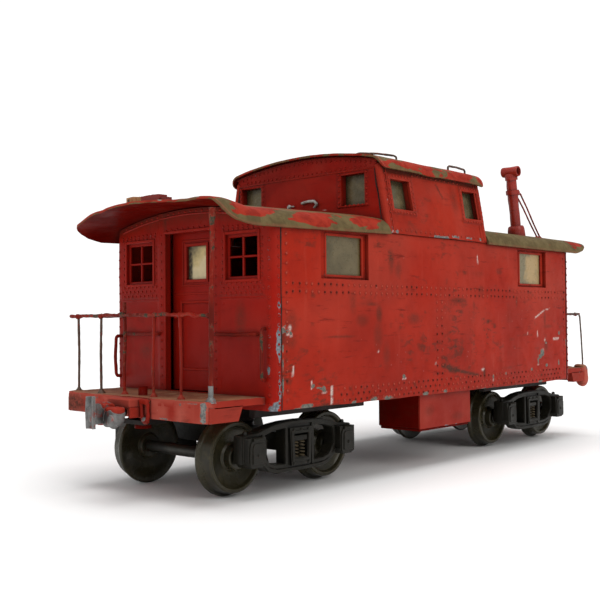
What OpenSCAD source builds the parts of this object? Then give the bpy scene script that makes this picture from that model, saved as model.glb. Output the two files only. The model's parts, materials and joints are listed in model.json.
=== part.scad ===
// O scale model caboose, built from stamped sheet sides, cast end platforms
// and cast four-wheel trucks. Origin: centre of the wheel contact plane,
// halfway between the trucks. X runs along the car, end A is at -X, +Z is up.

/* [Body] */
// Length of the body over its end walls
body_len = 145; // [140:1:152]
// Width of the body over its side sheets
body_w = 60; // [58:1:61]
// Height of the lower edge of the sides above the rail
side_bottom = 20.8; // [20.4:0.1:21.2]
// Height of the top edge of the side sheets
side_top = 64.4; // [63.8:0.1:64.4]
// Thickness of the side sheets
side_t = 1; // [0.8:0.1:1.2]
// Thickness of the end walls
end_t = 1.6; // [1.2:0.1:2]
// Radius of the wrapped body corners
corner_r = 2.2; // [1.5:0.1:2.4]

/* [Windows and doors] */
// Distance of each side window's centre from the middle of the car
side_win_x = 46.9; // [42:0.1:50]
// Width of the opening in the side sheet at a window
side_win_w = 18.4; // [16:0.1:19]
// Height of the opening in the side sheet at a window
side_win_h = 11.8; // [10:0.1:12]
// Height of the lower edge of that opening
side_win_z = 51.7; // [51:0.1:52]
// Width of the glass opening in a side window's frame plate
light_w = 13.6; // [11:0.1:15]
// Height of the glass opening in a side window's frame plate
light_h = 9.6; // [8:0.1:10]
// Shift of the glass opening towards end B
light_shift = 0.7; // [-1:0.1:1.5]
// Width of the doorway
doorway_w = 17.6; // [15:0.1:18]
// Height of the top of the doorway
doorway_top = 64; // [62:0.1:65]

/* [Roof] */
// Height of the roof's crown
roof_crown = 70.6; // [70:0.1:71.2]
// Radius of the roof's main arch
roof_r = 115; // [105:1:125]
// Radius of the roof's rolled eaves
eave_r = 5.2; // [4.8:0.1:5.6]
// Half width of the roof over its eaves
roof_half_w = 31.4; // [31.2:0.1:32]
// Half length of the roof over its canopies
roof_half_len = 90.3; // [88:0.1:92]
// Thickness of the roof sheet
roof_t = 0.6; // [0.5:0.05:0.8]

/* [Cupola] */
// End of the cupola nearest end A
cup_x0 = -29.5; // [-31:0.5:-28]
// End of the cupola nearest end B
cup_x1 = 18.8; // [17:0.1:20]
// Height of the cupola roof's crown
cup_crown = 88; // [87:0.1:89]
// Radius of the cupola roof's arch
cup_r = 133; // [120:1:140]
// Half width of the cupola roof
cup_half_w = 29; // [28.6:0.1:29.6]
// Overhang of the cupola roof past its end walls
cup_over = 1.5; // [1:0.1:2.5]

/* [Smokestack] */
// Outer diameter of the stack tube
stack_d = 3.6; // [3:0.1:4.2]
// Lean of the stack towards end A, in degrees
stack_lean = 9.5; // [0:0.5:12]

/* [Trucks] */
// Distance of each truck's pivot from the middle of the car
truck_x = 57.35; // [55:0.05:58]
// Distance between a truck's two axles
wheelbase = 32.3; // [31:0.1:33]
// Radius over the wheel flanges
flange_r = 9.5; // [9.3:0.1:9.5]
// Radius of the wheel treads
tread_r = 8.6; // [8.2:0.1:8.8]
// Radius of the axle between the wheels
axle_r = 1.5; // [1.2:0.1:1.7]
// Radius of the axle journals
journal_r = 1; // [0.8:0.05:1.2]
// Radial running clearance of the journals, kingpins and coupler pivots
run_clear = 0.07; // [0.03:0.01:0.1]

/* [Couplers] */
// Distance of each coupler's pivot from the middle of the car
coupler_x = 86.7; // [86:0.1:87]
// Radius of the coupler pivot screw
stud_r = 1.1; // [0.9:0.05:1.2]

/* [Hidden] */

$fn = 48;
red = [0.63, 0.2, 0.15];
dark_red = [0.5, 0.17, 0.11];
olive = [0.36, 0.3, 0.2];
black = [0.12, 0.12, 0.11];
deck = [0.62, 0.42, 0.32];
zinc = [0.6, 0.6, 0.58];
pane = [0.66, 0.62, 0.48];

hx = body_len / 2;
hy = body_w / 2;
deck_top = 24;
// centre of the roof's main arch and of its rolled eave
arch_z = roof_crown - roof_r;
eave_y = roof_half_w - eave_r;
eave_z = arch_z + sqrt(pow(roof_r - eave_r, 2) - eave_y * eave_y);
eave_bottom = 63;
// the same for the cupola roof
cup_eave_r = 4;
cup_arch_z = cup_crown - cup_r;
cup_eave_y = cup_half_w - cup_eave_r;
cup_eave_z = cup_arch_z + sqrt(pow(cup_r - cup_eave_r, 2) - cup_eave_y * cup_eave_y);
cup_eave_bottom = 82;
// the slanted cupola side: outer face at its lower and upper edge
cup_y_low = 30.4;
cup_y_top = 27.3;
cup_z_low = 64.5;
cup_z_top = 82.4;
cup_wall = 1;
// outer face of the slanted side at height z
function cup_y(z) = cup_y_low - (cup_y_low - cup_y_top) * (z - cup_z_low) / (cup_z_top - cup_z_low);
cup_win_x = [-21.4, 13.3];
// depth of the cupola windows' surrounds, from the outer face
cup_reveal = 2.2;
axle_z = flange_r;
stack_x = 57.1;
stack_y = -19;
cup_end_shift = 1.25;

// a shape drawn in the YZ plane, given a length along X
module along_x(x0, x1) translate([x0, 0, 0]) rotate([90, 0, 90]) linear_extrude(height = x1 - x0) children();
// a shape drawn in the XZ plane, given a length along Y
module along_y(y0, y1) translate([0, y1, 0]) rotate([90, 0, 0]) linear_extrude(height = y1 - y0) children();
// a straight round wire between two points
module wire(a, b, r = 0.4) {
  v = b - a;
  l = norm(v);
  translate(a) rotate([0, acos(v[2] / l), atan2(v[1], v[0])]) cylinder(r = r, h = l, $fn = 24);
}
module end_b() rotate([0, 0, 180]) children();

// everything below an arched roof's outer surface, moved in by d
module under_arch(r, az, er, ey, ez, d, low) {
  far = 3 * r;
  th = asin(ey / (r - er));
  intersection() {
    translate([0, az]) circle(r = r - d, $fn = 200);
    polygon([[0, az], [-far * sin(th), az + far * cos(th)], [far * sin(th), az + far * cos(th)]]);
    translate([-60, low]) square([120, 60]);
  }
  for (s = [-1, 1]) intersection() {
    translate([s * ey, ez]) circle(r = er - d, $fn = 64);
    translate([-60, low]) square([120, 60]);
  }
  polygon([[-ey - er + d, low], [-ey - er + d, min(ez, low + 0.01)], [-ey, ez], [ey, ez], [ey + er - d, min(ez, low + 0.01)], [ey + er - d, low]]);
}
module under_roof(d, low) under_arch(roof_r, arch_z, eave_r, eave_y, eave_z, d, low);
module under_cupola_roof(d, low) under_arch(cup_r, cup_arch_z, cup_eave_r, cup_eave_y, cup_eave_z, d, low);

// plan of a plate with two rounded corners at its outer end
module plan_tab(x0, x1, hw, r) {
  translate([x0 + r, -hw]) square([x1 - x0 - r, 2 * hw]);
  translate([x0, -hw + r]) square([x1 - x0, 2 * (hw - r)]);
  for (s = [-1, 1]) translate([x0 + r, s * (hw - r)]) circle(r = r, $fn = 40);
}

// ---- body ----
module floor_plate() color(deck)
  difference() {
    translate([-hx + corner_r + 0.1, -hy + side_t + 0.1, 21.6]) cube([body_len - 2 * corner_r - 0.2, body_w - 2 * side_t - 0.2, 2.2]);
    for (s = [-1, 1]) translate([s * truck_x, 0, 20]) cylinder(r = 1.52, h = 5);
  }
module center_sill() color(black)
  difference() {
    translate([-70, -2.6, 18.8]) cube([140, 5.2, 2.8]);
    translate([-69, -1.8, 18]) cube([138, 3.6, 2.8]);
    for (s = [-1, 1]) translate([s * truck_x - 6.2, -4, 18]) cube([12.4, 8, 4]);
  }
module body_bolsters() color(black)
  for (s = [-1, 1]) difference() {
    union() {
      translate([s * truck_x - 3.2, -18, 19.2]) cube([6.4, 36, 2.4]);
      translate([s * truck_x, 0, 15.6]) cylinder(r = 5.6, h = 6);
    }
    translate([s * truck_x, 0, 10]) cylinder(r = 1.52, h = 15);
  }

module side_sheet() color(red)
  difference() {
    along_y(-hy, -hy + side_t) translate([-hx + corner_r + 0.15, side_bottom]) square([body_len - 2 * corner_r - 0.3, side_top - side_bottom]);
    for (s = [-1, 1]) translate([s * side_win_x - side_win_w / 2, -hy - 1, side_win_z]) cube([side_win_w, 4, side_win_h]);
  }
module side_left() side_sheet();
module side_right() mirror([0, 1, 0]) side_sheet();

module end_wall() color(dark_red)
  difference() {
    union() {
      intersection() {
        along_x(-hx, -hx + end_t) intersection() {
          under_roof(roof_t + 0.05, side_bottom);
          translate([-hy, side_bottom]) square([body_w, 60]);
        }
        translate([0, 0, 10]) linear_extrude(height = 70) plan_tab(-hx, 0, hy, corner_r);
      }
      // jambs and head of the recessed doorway
      translate([-hx + end_t - 0.1, -doorway_w / 2 - 0.8, deck_top + 0.1]) cube([1.5, doorway_w + 1.6, doorway_top - deck_top + 0.8]);
      // returns that wrap round the corners and meet the side sheets
      for (s = [-1, 1]) intersection() {
        translate([-hx, s > 0 ? hy - 2.4 : -hy, side_bottom]) cube([corner_r, 2.4, side_top - side_bottom]);
        translate([0, 0, 10]) linear_extrude(height = 70) plan_tab(-hx, 0, hy, corner_r);
      }
    }
    translate([-hx - 1, -doorway_w / 2, deck_top]) cube([6, doorway_w, doorway_top - deck_top]);
    for (s = [-1, 1]) translate([-hx - 1, s * 19.4 - 5.5, 51.5]) cube([6, 11, 10.8]);
  }
module end_wall_a() end_wall();
module end_wall_b() end_b() end_wall();

module door() color(dark_red)
  difference() {
    translate([-hx + end_t + 1.45, -doorway_w / 2 - 0.8, deck_top]) cube([1.2, doorway_w + 1.6, doorway_top - deck_top + 0.8]);
    translate([-hx, -3.7, 52.2]) cube([6, 7.4, 8.4]);
    // sunk lower panel
    translate([-hx + end_t, -5.8, 29.7]) cube([1.75, 11.6, 16.5]);
  }
module door_a() door();
module door_b() end_b() door();

// four-light sashes behind the end wall openings
module end_sashes() color(red)
  for (s = [-1, 1]) translate([-hx + end_t + 0.05, s * 19.4, 56.9]) difference() {
    translate([0, -6.1, -6]) cube([0.7, 12.2, 12]);
    for (i = [-1, 1], j = [-1, 1]) translate([-1, i * 2.65 - 2.3, j * 2.6 - 2.25]) cube([3, 4.6, 4.5]);
  }
module end_sashes_a() end_sashes();
module end_sashes_b() end_b() end_sashes();

// frame plates fixed behind the openings in the side sheets
module side_window_frames() color(red)
  for (m = [0, 1], s = [-1, 1]) mirror([0, m, 0])
    translate([s * side_win_x, 0, side_win_z + side_win_h / 2]) difference() {
      along_y(-hy + side_t + 0.05, -hy + side_t + 0.55) square([side_win_w + 1.6, side_win_h + 1.2], center = true);
      translate([light_shift, -hy, 0]) cube([light_w, 8, light_h], center = true);
    }

module side_pane() color(pane)
  for (s = [-1, 1]) translate([s * side_win_x + light_shift - light_w / 2 - 1, -hy + side_t + 0.6, side_win_z + side_win_h / 2 - light_h / 2 - 1]) cube([light_w + 2, 0.3, light_h + 2]);
module side_glazing_left() side_pane();
module side_glazing_right() mirror([0, 1, 0]) side_pane();
module door_glazing() color([0.75, 0.72, 0.62])
  for (a = [0, 180]) rotate([0, 0, a]) translate([-hx + end_t + 2.7, -4.6, 51.2]) cube([0.3, 9.2, 10.4]);

// ---- roof ----
module roof_sheet(x0, x1, tab) color(olive)
  intersection() {
    along_x(x0, x1) difference() {
      under_roof(0, eave_bottom);
      under_roof(roof_t, eave_bottom - 1);
    }
    translate([0, 0, 40]) linear_extrude(height = 40)
      if (tab < 0) plan_tab(x0, x1, roof_half_w, 5); else mirror([1, 0]) plan_tab(-x1, -x0, roof_half_w, 5);
  }
module main_roof_a() roof_sheet(-roof_half_len, cup_x0 - 0.05, -1);
module main_roof_b() roof_sheet(cup_x1 + 0.05, roof_half_len, 1);

// broken stub of the roof walk: the end of its boards on one curved saddle
module roof_walk_stub() color(red)
  difference() {
    union() {
      translate([-86, -7.2, 70.3]) cube([2.6, 14.4, 1.5]);
      translate([-85.6, -8, 69]) cube([1.6, 16, 2.2]);
    }
    along_x(-95, -60) translate([0, arch_z]) circle(r = roof_r + 0.02, $fn = 200);
  }

// ---- cupola ----
module cupola_side() color(red)
  difference() {
    union() {
      along_x(cup_x0, cup_x1) polygon([[-cup_y_low, cup_z_low], [-cup_y_top, cup_z_top], [-cup_y_top + cup_wall, cup_z_top], [-cup_y_low + cup_wall, cup_z_low]]);
      // deep window surrounds behind the sheet
      for (x = cup_win_x) along_x(x - 5, min(x + 5, cup_x1 - cup_wall - 0.1))
        polygon([for (p = [[0.9, 70.5], [0.9, 80.1], [cup_reveal, 80.1], [cup_reveal, 70.5]]) [-cup_y(p[1]) + p[0], p[1]]]);
    }
    for (x = cup_win_x) translate([x - 4.3, -40, 71.2]) cube([8.6, 20, 8.2]);
  }
module cupola_side_left() cupola_side();
module cupola_side_right() mirror([0, 1, 0]) cupola_side();

module cupola_end(x, out) color(dark_red) {
  // window surrounds behind the wall
  for (s = [-1, 1]) along_x(out < 0 ? x + cup_wall - 0.1 : x - cup_reveal + cup_wall, out < 0 ? x + cup_reveal : x + 0.1) difference() {
    translate([s * 19.6 + (out < 0 ? cup_end_shift : 0) - 5, 72.1]) square([10, 9.7]);
    translate([s * 19.6 + (out < 0 ? cup_end_shift : 0) - 4.2, 72.8]) square([8.4, 8.4]);
  }
  along_x(x, x + cup_wall) difference() {
    intersection() {
      under_cupola_roof(roof_t + 0.05, 60);
      polygon([[-cup_y_low + cup_wall + 0.05, cup_z_low], [-cup_y_top + cup_wall + 0.05, cup_z_top], [-cup_y_top + cup_wall + 0.05, 95], [cup_y_top - cup_wall - 0.05, 95], [cup_y_top - cup_wall - 0.05, cup_z_top], [cup_y_low - cup_wall - 0.05, cup_z_low]]);
    }
    for (s = [-1, 1]) translate([s * 19.6 + (out < 0 ? cup_end_shift : 0) - 4.2, 72.8]) square([8.4, 8.4]);
  }
}
module cupola_end_a() cupola_end(cup_x0, -1);
module cupola_end_b() cupola_end(cup_x1 - cup_wall, 1);

module cupola_roof() color(olive)
  along_x(cup_x0 - cup_over, cup_x1 + cup_over) difference() {
    under_cupola_roof(0, cup_eave_bottom);
    under_cupola_roof(roof_t, cup_eave_bottom - 1);
    // relief where the slanted sides reach up under the eaves
    for (s = [-1, 1]) translate([s * (cup_y_top - 0.5) - 0.55, cup_eave_bottom - 1]) square([1.1, 1.5]);
  }

module cupola_glazing() color(pane) {
  for (m = [0, 1], x = cup_win_x) mirror([0, m, 0])
    along_x(x - 4.9, min(x + 4.9, cup_x1 - cup_wall - 0.4))
      polygon([for (p = [[0.05, 70.7], [0.05, 79.9], [0.35, 79.9], [0.35, 70.7]]) [-cup_y(p[1]) + cup_reveal + p[0], p[1]]]);
  for (x = [cup_x0 + cup_reveal + 0.05, cup_x1 - cup_reveal - 0.35], s = [-1, 1])
    translate([x, s * 19.6 + (x < 0 ? cup_end_shift : 0) - 4.9, 72.2]) cube([0.3, 9.8, 9.6]);
}

// two wire grab irons bent over the cupola roof
module cupola_grab_irons() color(zinc)
  for (x = [-16, 12]) for (m = [-1, 1]) {
    wire([x - 5, m * 17, 88.1], [x + 5, m * 17, 88.1], 0.35);
    for (s = [-1, 1]) wire([x + s * 4.65, m * 17, 86.98], [x + s * 4.65, m * 17, 88.1], 0.35);
  }

// ---- smokestack ----
module on_stack() translate([stack_x, stack_y, 69]) rotate([0, -stack_lean, 0]) children();
module stack_tube() color(red)
  difference() {
    on_stack() difference() {
      cylinder(d = stack_d, h = 21.4);
      translate([0, 0, -1]) cylinder(d = stack_d - 0.9, h = 30);
    }
    along_x(40, 70) translate([0, arch_z]) circle(r = roof_r + 0.05, $fn = 200);
  }
module stack_collar() color(red)
  difference() {
    on_stack() cylinder(d = 5.9, h = 4.2);
    on_stack() translate([0, 0, -2]) cylinder(d = stack_d + 0.06, h = 30);
    along_x(40, 70) translate([0, arch_z]) circle(r = roof_r + 0.05, $fn = 200);
  }
module stack_cap() color(red)
  on_stack() difference() {
    union() {
      translate([0, 3, 22.3]) rotate([90, 0, 0]) cylinder(d = 3.6, h = 6);
      translate([0, 0, 19.5]) cylinder(d = 4.2, h = 2.2);
    }
    translate([0, 5, 22.3]) rotate([90, 0, 0]) cylinder(d = 2.7, h = 10);
    translate([0, 0, 18]) cylinder(d = stack_d + 0.06, h = 3.45);
  }
module stack_clamp() color(red)
  on_stack() difference() {
    union() {
      translate([0, 0, 14.6]) cylinder(d = 4.5, h = 1.6);
      translate([2.05, -1.1, 14.65]) cube([1.4, 2.2, 1.5]);
    }
    translate([0, 0, 12]) cylinder(d = stack_d + 0.06, h = 7);
  }
module stack_stays() color(zinc) {
  wire([58.4, -19.7, 84.1], [70.4, -20.3, 69.25], 0.3);
  wire([58.4, -18.3, 83.6], [72.8, -17.9, 69.6], 0.3);
}

// ---- underneath ----
module toolbox() color(red) {
  translate([-12.7, -27.8, 11.2]) cube([25.4, 14.6, 10.35]);
  translate([-12.2, -27.3, 10.5]) cube([24.4, 13.6, 0.7]);
}

// ---- platforms ----
module platform() color(deck)
  difference() {
    union() {
      // deck
      translate([0, 0, 22.4]) linear_extrude(height = 1.6) plan_tab(-90.5, -hx - 0.1, 27, 2.4);
      // end sill and the side skirts behind it
      intersection() {
        union() {
          translate([-90.5, -27, 19.2]) cube([2.6, 54, 3.3]);
          for (s = [-1, 1]) along_y(s > 0 ? 24.8 : -27, s > 0 ? 27 : -24.8)
            polygon([[-90, 19.2], [-81, 19.2], [-79.6, 22.5], [-90, 22.5]]);
        }
        translate([0, 0, 10]) linear_extrude(height = 30) plan_tab(-90.5, -hx - 0.1, 27, 2.4);
      }
      // striker block over the coupler shank
      translate([-94, -4.4, 21.7]) cube([4, 8.8, 2.1]);
    }
    // mouth for the coupler shank
    translate([-99, -4.4, 15]) cube([13, 8.8, 6.7]);
    translate([-coupler_x, 0, 15]) cylinder(r = stud_r + 0.02, h = 20);
  }
module platform_a() platform();
module platform_b() end_b() platform();

// wire railing: posts, top rail and the side rail back to the body
module end_railing() color(red) {
  for (y = [-15.9, -6.2, 15.9, 25.5]) wire([-88.3, y, 24], [-88.3, y, 42.65], 0.42);
  wire([-87.4, 6.2, 24], [-87.4, 6.2, 46.3], 0.42);
  wire([-88.3, -25.2, 43.1], [-88.3, 26, 43.1], 0.42);
  wire([-87.8, 25.5, 43.1], [-hx - 0.06, 27.6, 43.1], 0.42);
}
module end_railing_a() end_railing();
module end_railing_b() end_b() end_railing();

// tall staff at the open corner, up to the canopy
module brake_staff() color(red) {
  wire([-88.3, -25.9, 24], [-88, -26.5, 66.5], 0.55);
}
module brake_staff_a() brake_staff();
module brake_staff_b() end_b() brake_staff();

// staple-shaped grab irons on an end wall
module grab_irons() color(red) {
  for (s = [-1, 1]) {
    wire([-hx - 1.3, s * 10.6, 38.4], [-hx - 1.3, s * 25.2, 38.4], 0.4);
    for (y = [11, 24.8]) wire([-hx - 1.2, s * y, 38.4], [-hx, s * y, 38.4], 0.38);
    wire([-hx - 1.3, s * 27, 28], [-hx - 1.3, s * 27, 39.8], 0.4);
    for (z = [28.4, 39.4]) wire([-hx - 1.2, s * 27, z], [-hx, s * 27, z], 0.38);
  }
}
// wire loop under each end sill that carries the coupler lift wire
module lift_brackets() color(red)
  for (a = [0, 180]) rotate([0, 0, a]) {
    for (y = [-7.5, -5.1]) wire([-91, y, 18.7], [-91, y, 23.4], 0.4);
    wire([-91, -7.5, 18.7], [-91, -5.1, 18.7], 0.4);
    translate([-91, -6.3, 23]) cube([1, 3, 0.8], center = true);
  }
module grab_irons_a() grab_irons();
module grab_irons_b() end_b() grab_irons();

// ---- couplers ----
module coupler_pocket() color(dark_red)
  difference() {
    union() {
      translate([-90, -4.35, 17.4]) cube([7, 8.7, 1.1]);
      for (s = [-1, 1]) translate([-87.8, s > 0 ? 3.4 : -4.35, 18.4]) cube([4.8, 0.95, s * s * 3.95]);
    }
    translate([-coupler_x, 0, 15]) cylinder(r = stud_r + 0.02, h = 20);
  }
module coupler_pocket_a() coupler_pocket();
module coupler_pocket_b() end_b() coupler_pocket();

module coupler_screws() color(zinc)
  for (a = [0, 180]) rotate([0, 0, a]) translate([-coupler_x, 0, 0]) {
    cylinder_z(2, 16.3, 17.35);
    cylinder_z(stud_r, 17.3, 26.2);
  }
module cylinder_z(r, z0, z1) translate([0, 0, z0]) cylinder(r = r, h = z1 - z0);

module coupler() color(zinc)
  difference() {
    union() {
      // shank and its pivot eye
      translate([-96, -1.6, 18.9]) cube([96 - coupler_x, 3.2, 2.2]);
      translate([-coupler_x, 0, 18.9]) cylinder(r = 2.6, h = 2.2);
      // head: throat block, guard arm and knuckle
      translate([0, 0, 17.9]) linear_extrude(height = 5) polygon([[-95, -2], [-95, 2.4], [-97.6, 3.4], [-99.6, 3.4], [-98.8, 1], [-97.2, -0.4], [-98.6, -3.2], [-97.4, -3.5]]);
      translate([0, 0, 17.9]) linear_extrude(height = 5) polygon([[-97, -3.4], [-97.2, -0.6], [-101.4, -2.9], [-101.2, -3.9]]);
      translate([-100.3, 2.2, 17.5]) cylinder(r = 1.3, h = 7.2);
      translate([-102.2, 0.4, 17.5]) cube([1.8, 2.8, 7.2]);
    }
    translate([-coupler_x, 0, 15]) cylinder(r = stud_r + run_clear, h = 10);
  }
module coupler_a() coupler();
module coupler_b() end_b() coupler();

// ---- trucks ----
module kingpin_screws() color(zinc)
  for (s = [-1, 1]) translate([s * truck_x, 0, 0]) {
    cylinder_z(2.8, 6.9, 8.6);
    cylinder_z(1.5, 8.5, 23.6);
  }
module truck_bolster() color(black)
  difference() {
    union() {
      translate([-4.4, -20.6, 10]) cube([8.8, 41.2, 4.4]);
      translate([0, 0, 8.9]) cylinder(r = 5.4, h = 6.6);
    }
    translate([0, 0, 5]) cylinder(r = 1.5 + run_clear, h = 20);
  }
module truck_bolster_a() translate([-truck_x, 0, 0]) truck_bolster();
module truck_bolster_b() translate([truck_x, 0, 0]) truck_bolster();

half_frame = [[0, 17.4], [5, 17.3], [9, 16.9], [12.4, 16.1], [14.4, 15.5], [19.2, 15], [19.3, 8.6], [13.6, 8.2], [12.9, 7.6], [10.8, 5.9], [8, 5.2], [0, 5.1]];
half_window = [[5.2, 15.7], [9, 15.4], [12, 14.6], [12.6, 13], [12.6, 10.4], [10.6, 8], [8.6, 7.4], [5.2, 7.2]];
module side_frame() color(black)
  difference() {
    union() {
      along_y(-23.4, -20.6) difference() {
        union() {
          polygon(half_frame);
          mirror([1, 0]) polygon(half_frame);
        }
        polygon(half_window);
        mirror([1, 0]) polygon(half_window);
      }
      // spring pocket frame
      along_y(-24.2, -23.3) polygon([[-3.9, 15.6], [3.9, 15.6], [3.4, 6.6], [-3.4, 6.6]]);
      // journal boxes
      for (s = [-1, 1]) {
        along_y(-25.3, -20.6) translate([s * wheelbase / 2, 0]) polygon([[-2.8, 14.6], [2.8, 14.6], [2.8, 9], [1.6, 7.6], [-1.6, 7.6], [-2.8, 9]]);
      }
    }
    // recess in the spring pocket
    along_y(-26, -22.6) polygon([[-2.5, 14.2], [2.5, 14.2], [2.2, 8.2], [-2.2, 8.2]]);
    for (s = [-1, 1]) translate([s * wheelbase / 2, -24.3, axle_z]) rotate([-90, 0, 0]) cylinder(r = journal_r + run_clear, h = 6);
  }
module side_frame_a_left() translate([-truck_x, 0, 0]) side_frame();
module side_frame_a_right() translate([-truck_x, 0, 0]) mirror([0, 1, 0]) side_frame();
module side_frame_b_left() translate([truck_x, 0, 0]) side_frame();
module side_frame_b_right() translate([truck_x, 0, 0]) mirror([0, 1, 0]) side_frame();

module axle(x) color(black) translate([x, 0, axle_z]) rotate([90, 0, 0]) {
  translate([0, 0, -19.2]) cylinder(r = axle_r, h = 38.4);
  translate([0, 0, -24]) cylinder(r = journal_r, h = 48);
}
module wheel() rotate([90, 0, 0]) rotate_extrude($fn = 96)
  polygon([[axle_r, 14], [2.9, 14], [3.3, 14.9], [7.2, 14.4], [9.2, 14.2], [flange_r, 14.5], [flange_r, 14.9], [9.2, 15.3], [8.8, 15.5], [tread_r, 15.9], [tread_r - 0.15, 18], [8.2, 18.4], [7.4, 18.4], [7, 17.4], [3.4, 16.7], [2.8, 19], [axle_r, 19]]);
module wheel_pair(x) color(black) translate([x, 0, axle_z]) {
  wheel();
  mirror([0, 1, 0]) wheel();
}
module axle_a1() axle(-truck_x - wheelbase / 2);
module axle_a2() axle(-truck_x + wheelbase / 2);
module axle_b1() axle(truck_x - wheelbase / 2);
module axle_b2() axle(truck_x + wheelbase / 2);
module wheels_a1() wheel_pair(-truck_x - wheelbase / 2);
module wheels_a2() wheel_pair(-truck_x + wheelbase / 2);
module wheels_b1() wheel_pair(truck_x - wheelbase / 2);
module wheels_b2() wheel_pair(truck_x + wheelbase / 2);

floor_plate();
center_sill();
body_bolsters();
side_left();
side_right();
end_wall_a();
end_wall_b();
door_a();
door_b();
end_sashes_a();
end_sashes_b();
side_window_frames();
side_glazing_left();
side_glazing_right();
door_glazing();
main_roof_a();
main_roof_b();
roof_walk_stub();
cupola_side_left();
cupola_side_right();
cupola_end_a();
cupola_end_b();
cupola_roof();
cupola_glazing();
cupola_grab_irons();
stack_tube();
stack_collar();
stack_cap();
stack_clamp();
stack_stays();
toolbox();
platform_a();
platform_b();
end_railing_a();
end_railing_b();
brake_staff_a();
brake_staff_b();
grab_irons_a();
grab_irons_b();
lift_brackets();
coupler_pocket_a();
coupler_pocket_b();
coupler_screws();
kingpin_screws();
coupler_a();
coupler_b();
truck_bolster_a();
truck_bolster_b();
side_frame_a_left();
side_frame_a_right();
side_frame_b_left();
side_frame_b_right();
axle_a1();
axle_a2();
axle_b1();
axle_b2();
wheels_a1();
wheels_a2();
wheels_b1();
wheels_b2();
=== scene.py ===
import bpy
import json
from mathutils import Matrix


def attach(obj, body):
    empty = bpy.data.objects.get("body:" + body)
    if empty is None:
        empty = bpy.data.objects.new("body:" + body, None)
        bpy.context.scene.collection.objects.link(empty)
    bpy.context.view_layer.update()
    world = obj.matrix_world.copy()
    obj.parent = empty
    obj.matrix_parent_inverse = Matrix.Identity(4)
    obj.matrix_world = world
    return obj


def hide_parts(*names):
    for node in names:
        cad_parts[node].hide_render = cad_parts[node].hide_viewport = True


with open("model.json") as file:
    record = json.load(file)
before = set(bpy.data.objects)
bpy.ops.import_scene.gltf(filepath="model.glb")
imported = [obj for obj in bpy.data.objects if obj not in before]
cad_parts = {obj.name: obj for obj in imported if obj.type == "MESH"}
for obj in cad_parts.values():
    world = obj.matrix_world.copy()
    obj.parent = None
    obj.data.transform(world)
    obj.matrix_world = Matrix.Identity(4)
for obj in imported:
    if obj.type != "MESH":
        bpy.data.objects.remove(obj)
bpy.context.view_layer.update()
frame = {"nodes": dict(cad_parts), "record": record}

import json
import math

import bmesh
import bpy
import numpy as np
from mathutils import Matrix, Vector

NODES = frame["nodes"]
BODY_OF = {n: b for b, ns in frame["record"]["behaviour"]["bodies"].items() for n in ns}
scene = bpy.context.scene

# ------------------------------------------------------------------ noise


def _hash(ix, iy, iz, seed):
    n = (ix * 374761393 + iy * 668265263 + iz * 1274126177 + seed * 1013904223) & 0xFFFFFFFF
    n = ((n ^ (n >> 13)) * 1274126177) & 0xFFFFFFFF
    return ((n ^ (n >> 16)) & 0xFFFF) / 32767.5 - 1.0


def vnoise(p, seed=0):
    """Smooth value noise, -1 to 1, at points p given in cells."""
    p = np.asarray(p, float).reshape(-1, 3)
    i = np.floor(p).astype(np.int64)
    f = p - i
    f = f * f * (3 - 2 * f)
    out = 0
    for dx in (0, 1):
        for dy in (0, 1):
            for dz in (0, 1):
                w = (
                    (f[:, 0] if dx else 1 - f[:, 0])
                    * (f[:, 1] if dy else 1 - f[:, 1])
                    * (f[:, 2] if dz else 1 - f[:, 2])
                )
                out = out + w * _hash(i[:, 0] + dx, i[:, 1] + dy, i[:, 2] + dz, seed)
    return out


def n2(u, v, cell, seed=0):
    u = np.asarray(u, float).ravel()
    v = np.asarray(v, float).ravel()
    return vnoise(np.stack([u / cell, v / cell, np.zeros_like(u) + 0.37], 1), seed)


# ------------------------------------------------------------------ geometry
KEYS = ("chip", "dark", "pale", "grime", "tint")


class Geo:
    """Points in mm, faces, a material number per face and the per-point wear, dirt, painted shade and painted highlight
    values.
    """

    def __init__(self):
        self.V, self.F, self.M, self.n = [], [], [], 0
        self.A = {k: [] for k in KEYS}

    def add(self, V, F, m=0, **a):
        V = np.asarray(V, float).reshape(-1, 3)
        b = self.n
        self.V.append(V)
        self.F.extend([tuple(i + b for i in f) for f in F])
        self.M.extend([m] * len(F))
        for k in KEYS:
            x = a.get(k, 0.0)
            self.A[k].append(np.full(len(V), x, float) if np.isscalar(x) else np.asarray(x, float).ravel())
        self.n += len(V)
        return self


def make(name, g, mats, body, rep=(), angle=35, bevel=0.0, seg=2):
    V = np.concatenate(g.V) * 0.001
    me = bpy.data.meshes.new(name)
    me.from_pydata(V.tolist(), [], g.F)
    for m in mats if isinstance(mats, (list, tuple)) else [mats]:
        me.materials.append(m)
    me.polygons.foreach_set("material_index", g.M)
    for k in KEYS:
        at = me.attributes.new(k, "FLOAT", "POINT")
        at.data.foreach_set("value", np.concatenate(g.A[k]).astype(np.float32))
    bm = bmesh.new()
    bm.from_mesh(me)
    bmesh.ops.recalc_face_normals(bm, faces=bm.faces)
    bm.to_mesh(me)
    bm.free()
    me.polygons.foreach_set("use_smooth", [True] * len(me.polygons))
    me.set_sharp_from_angle(angle=math.radians(angle))
    me.update()
    o = bpy.data.objects.new(name, me)
    scene.collection.objects.link(o)
    if bevel:
        b = o.modifiers.new("bevel", "BEVEL")
        b.width = bevel * 0.001
        b.segments = seg
        b.limit_method = "ANGLE"
        b.angle_limit = math.radians(40)
        b.use_clamp_overlap = True
        b.harden_normals = False
    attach(o, body)
    if rep:
        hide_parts(*rep)
    return o


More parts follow.
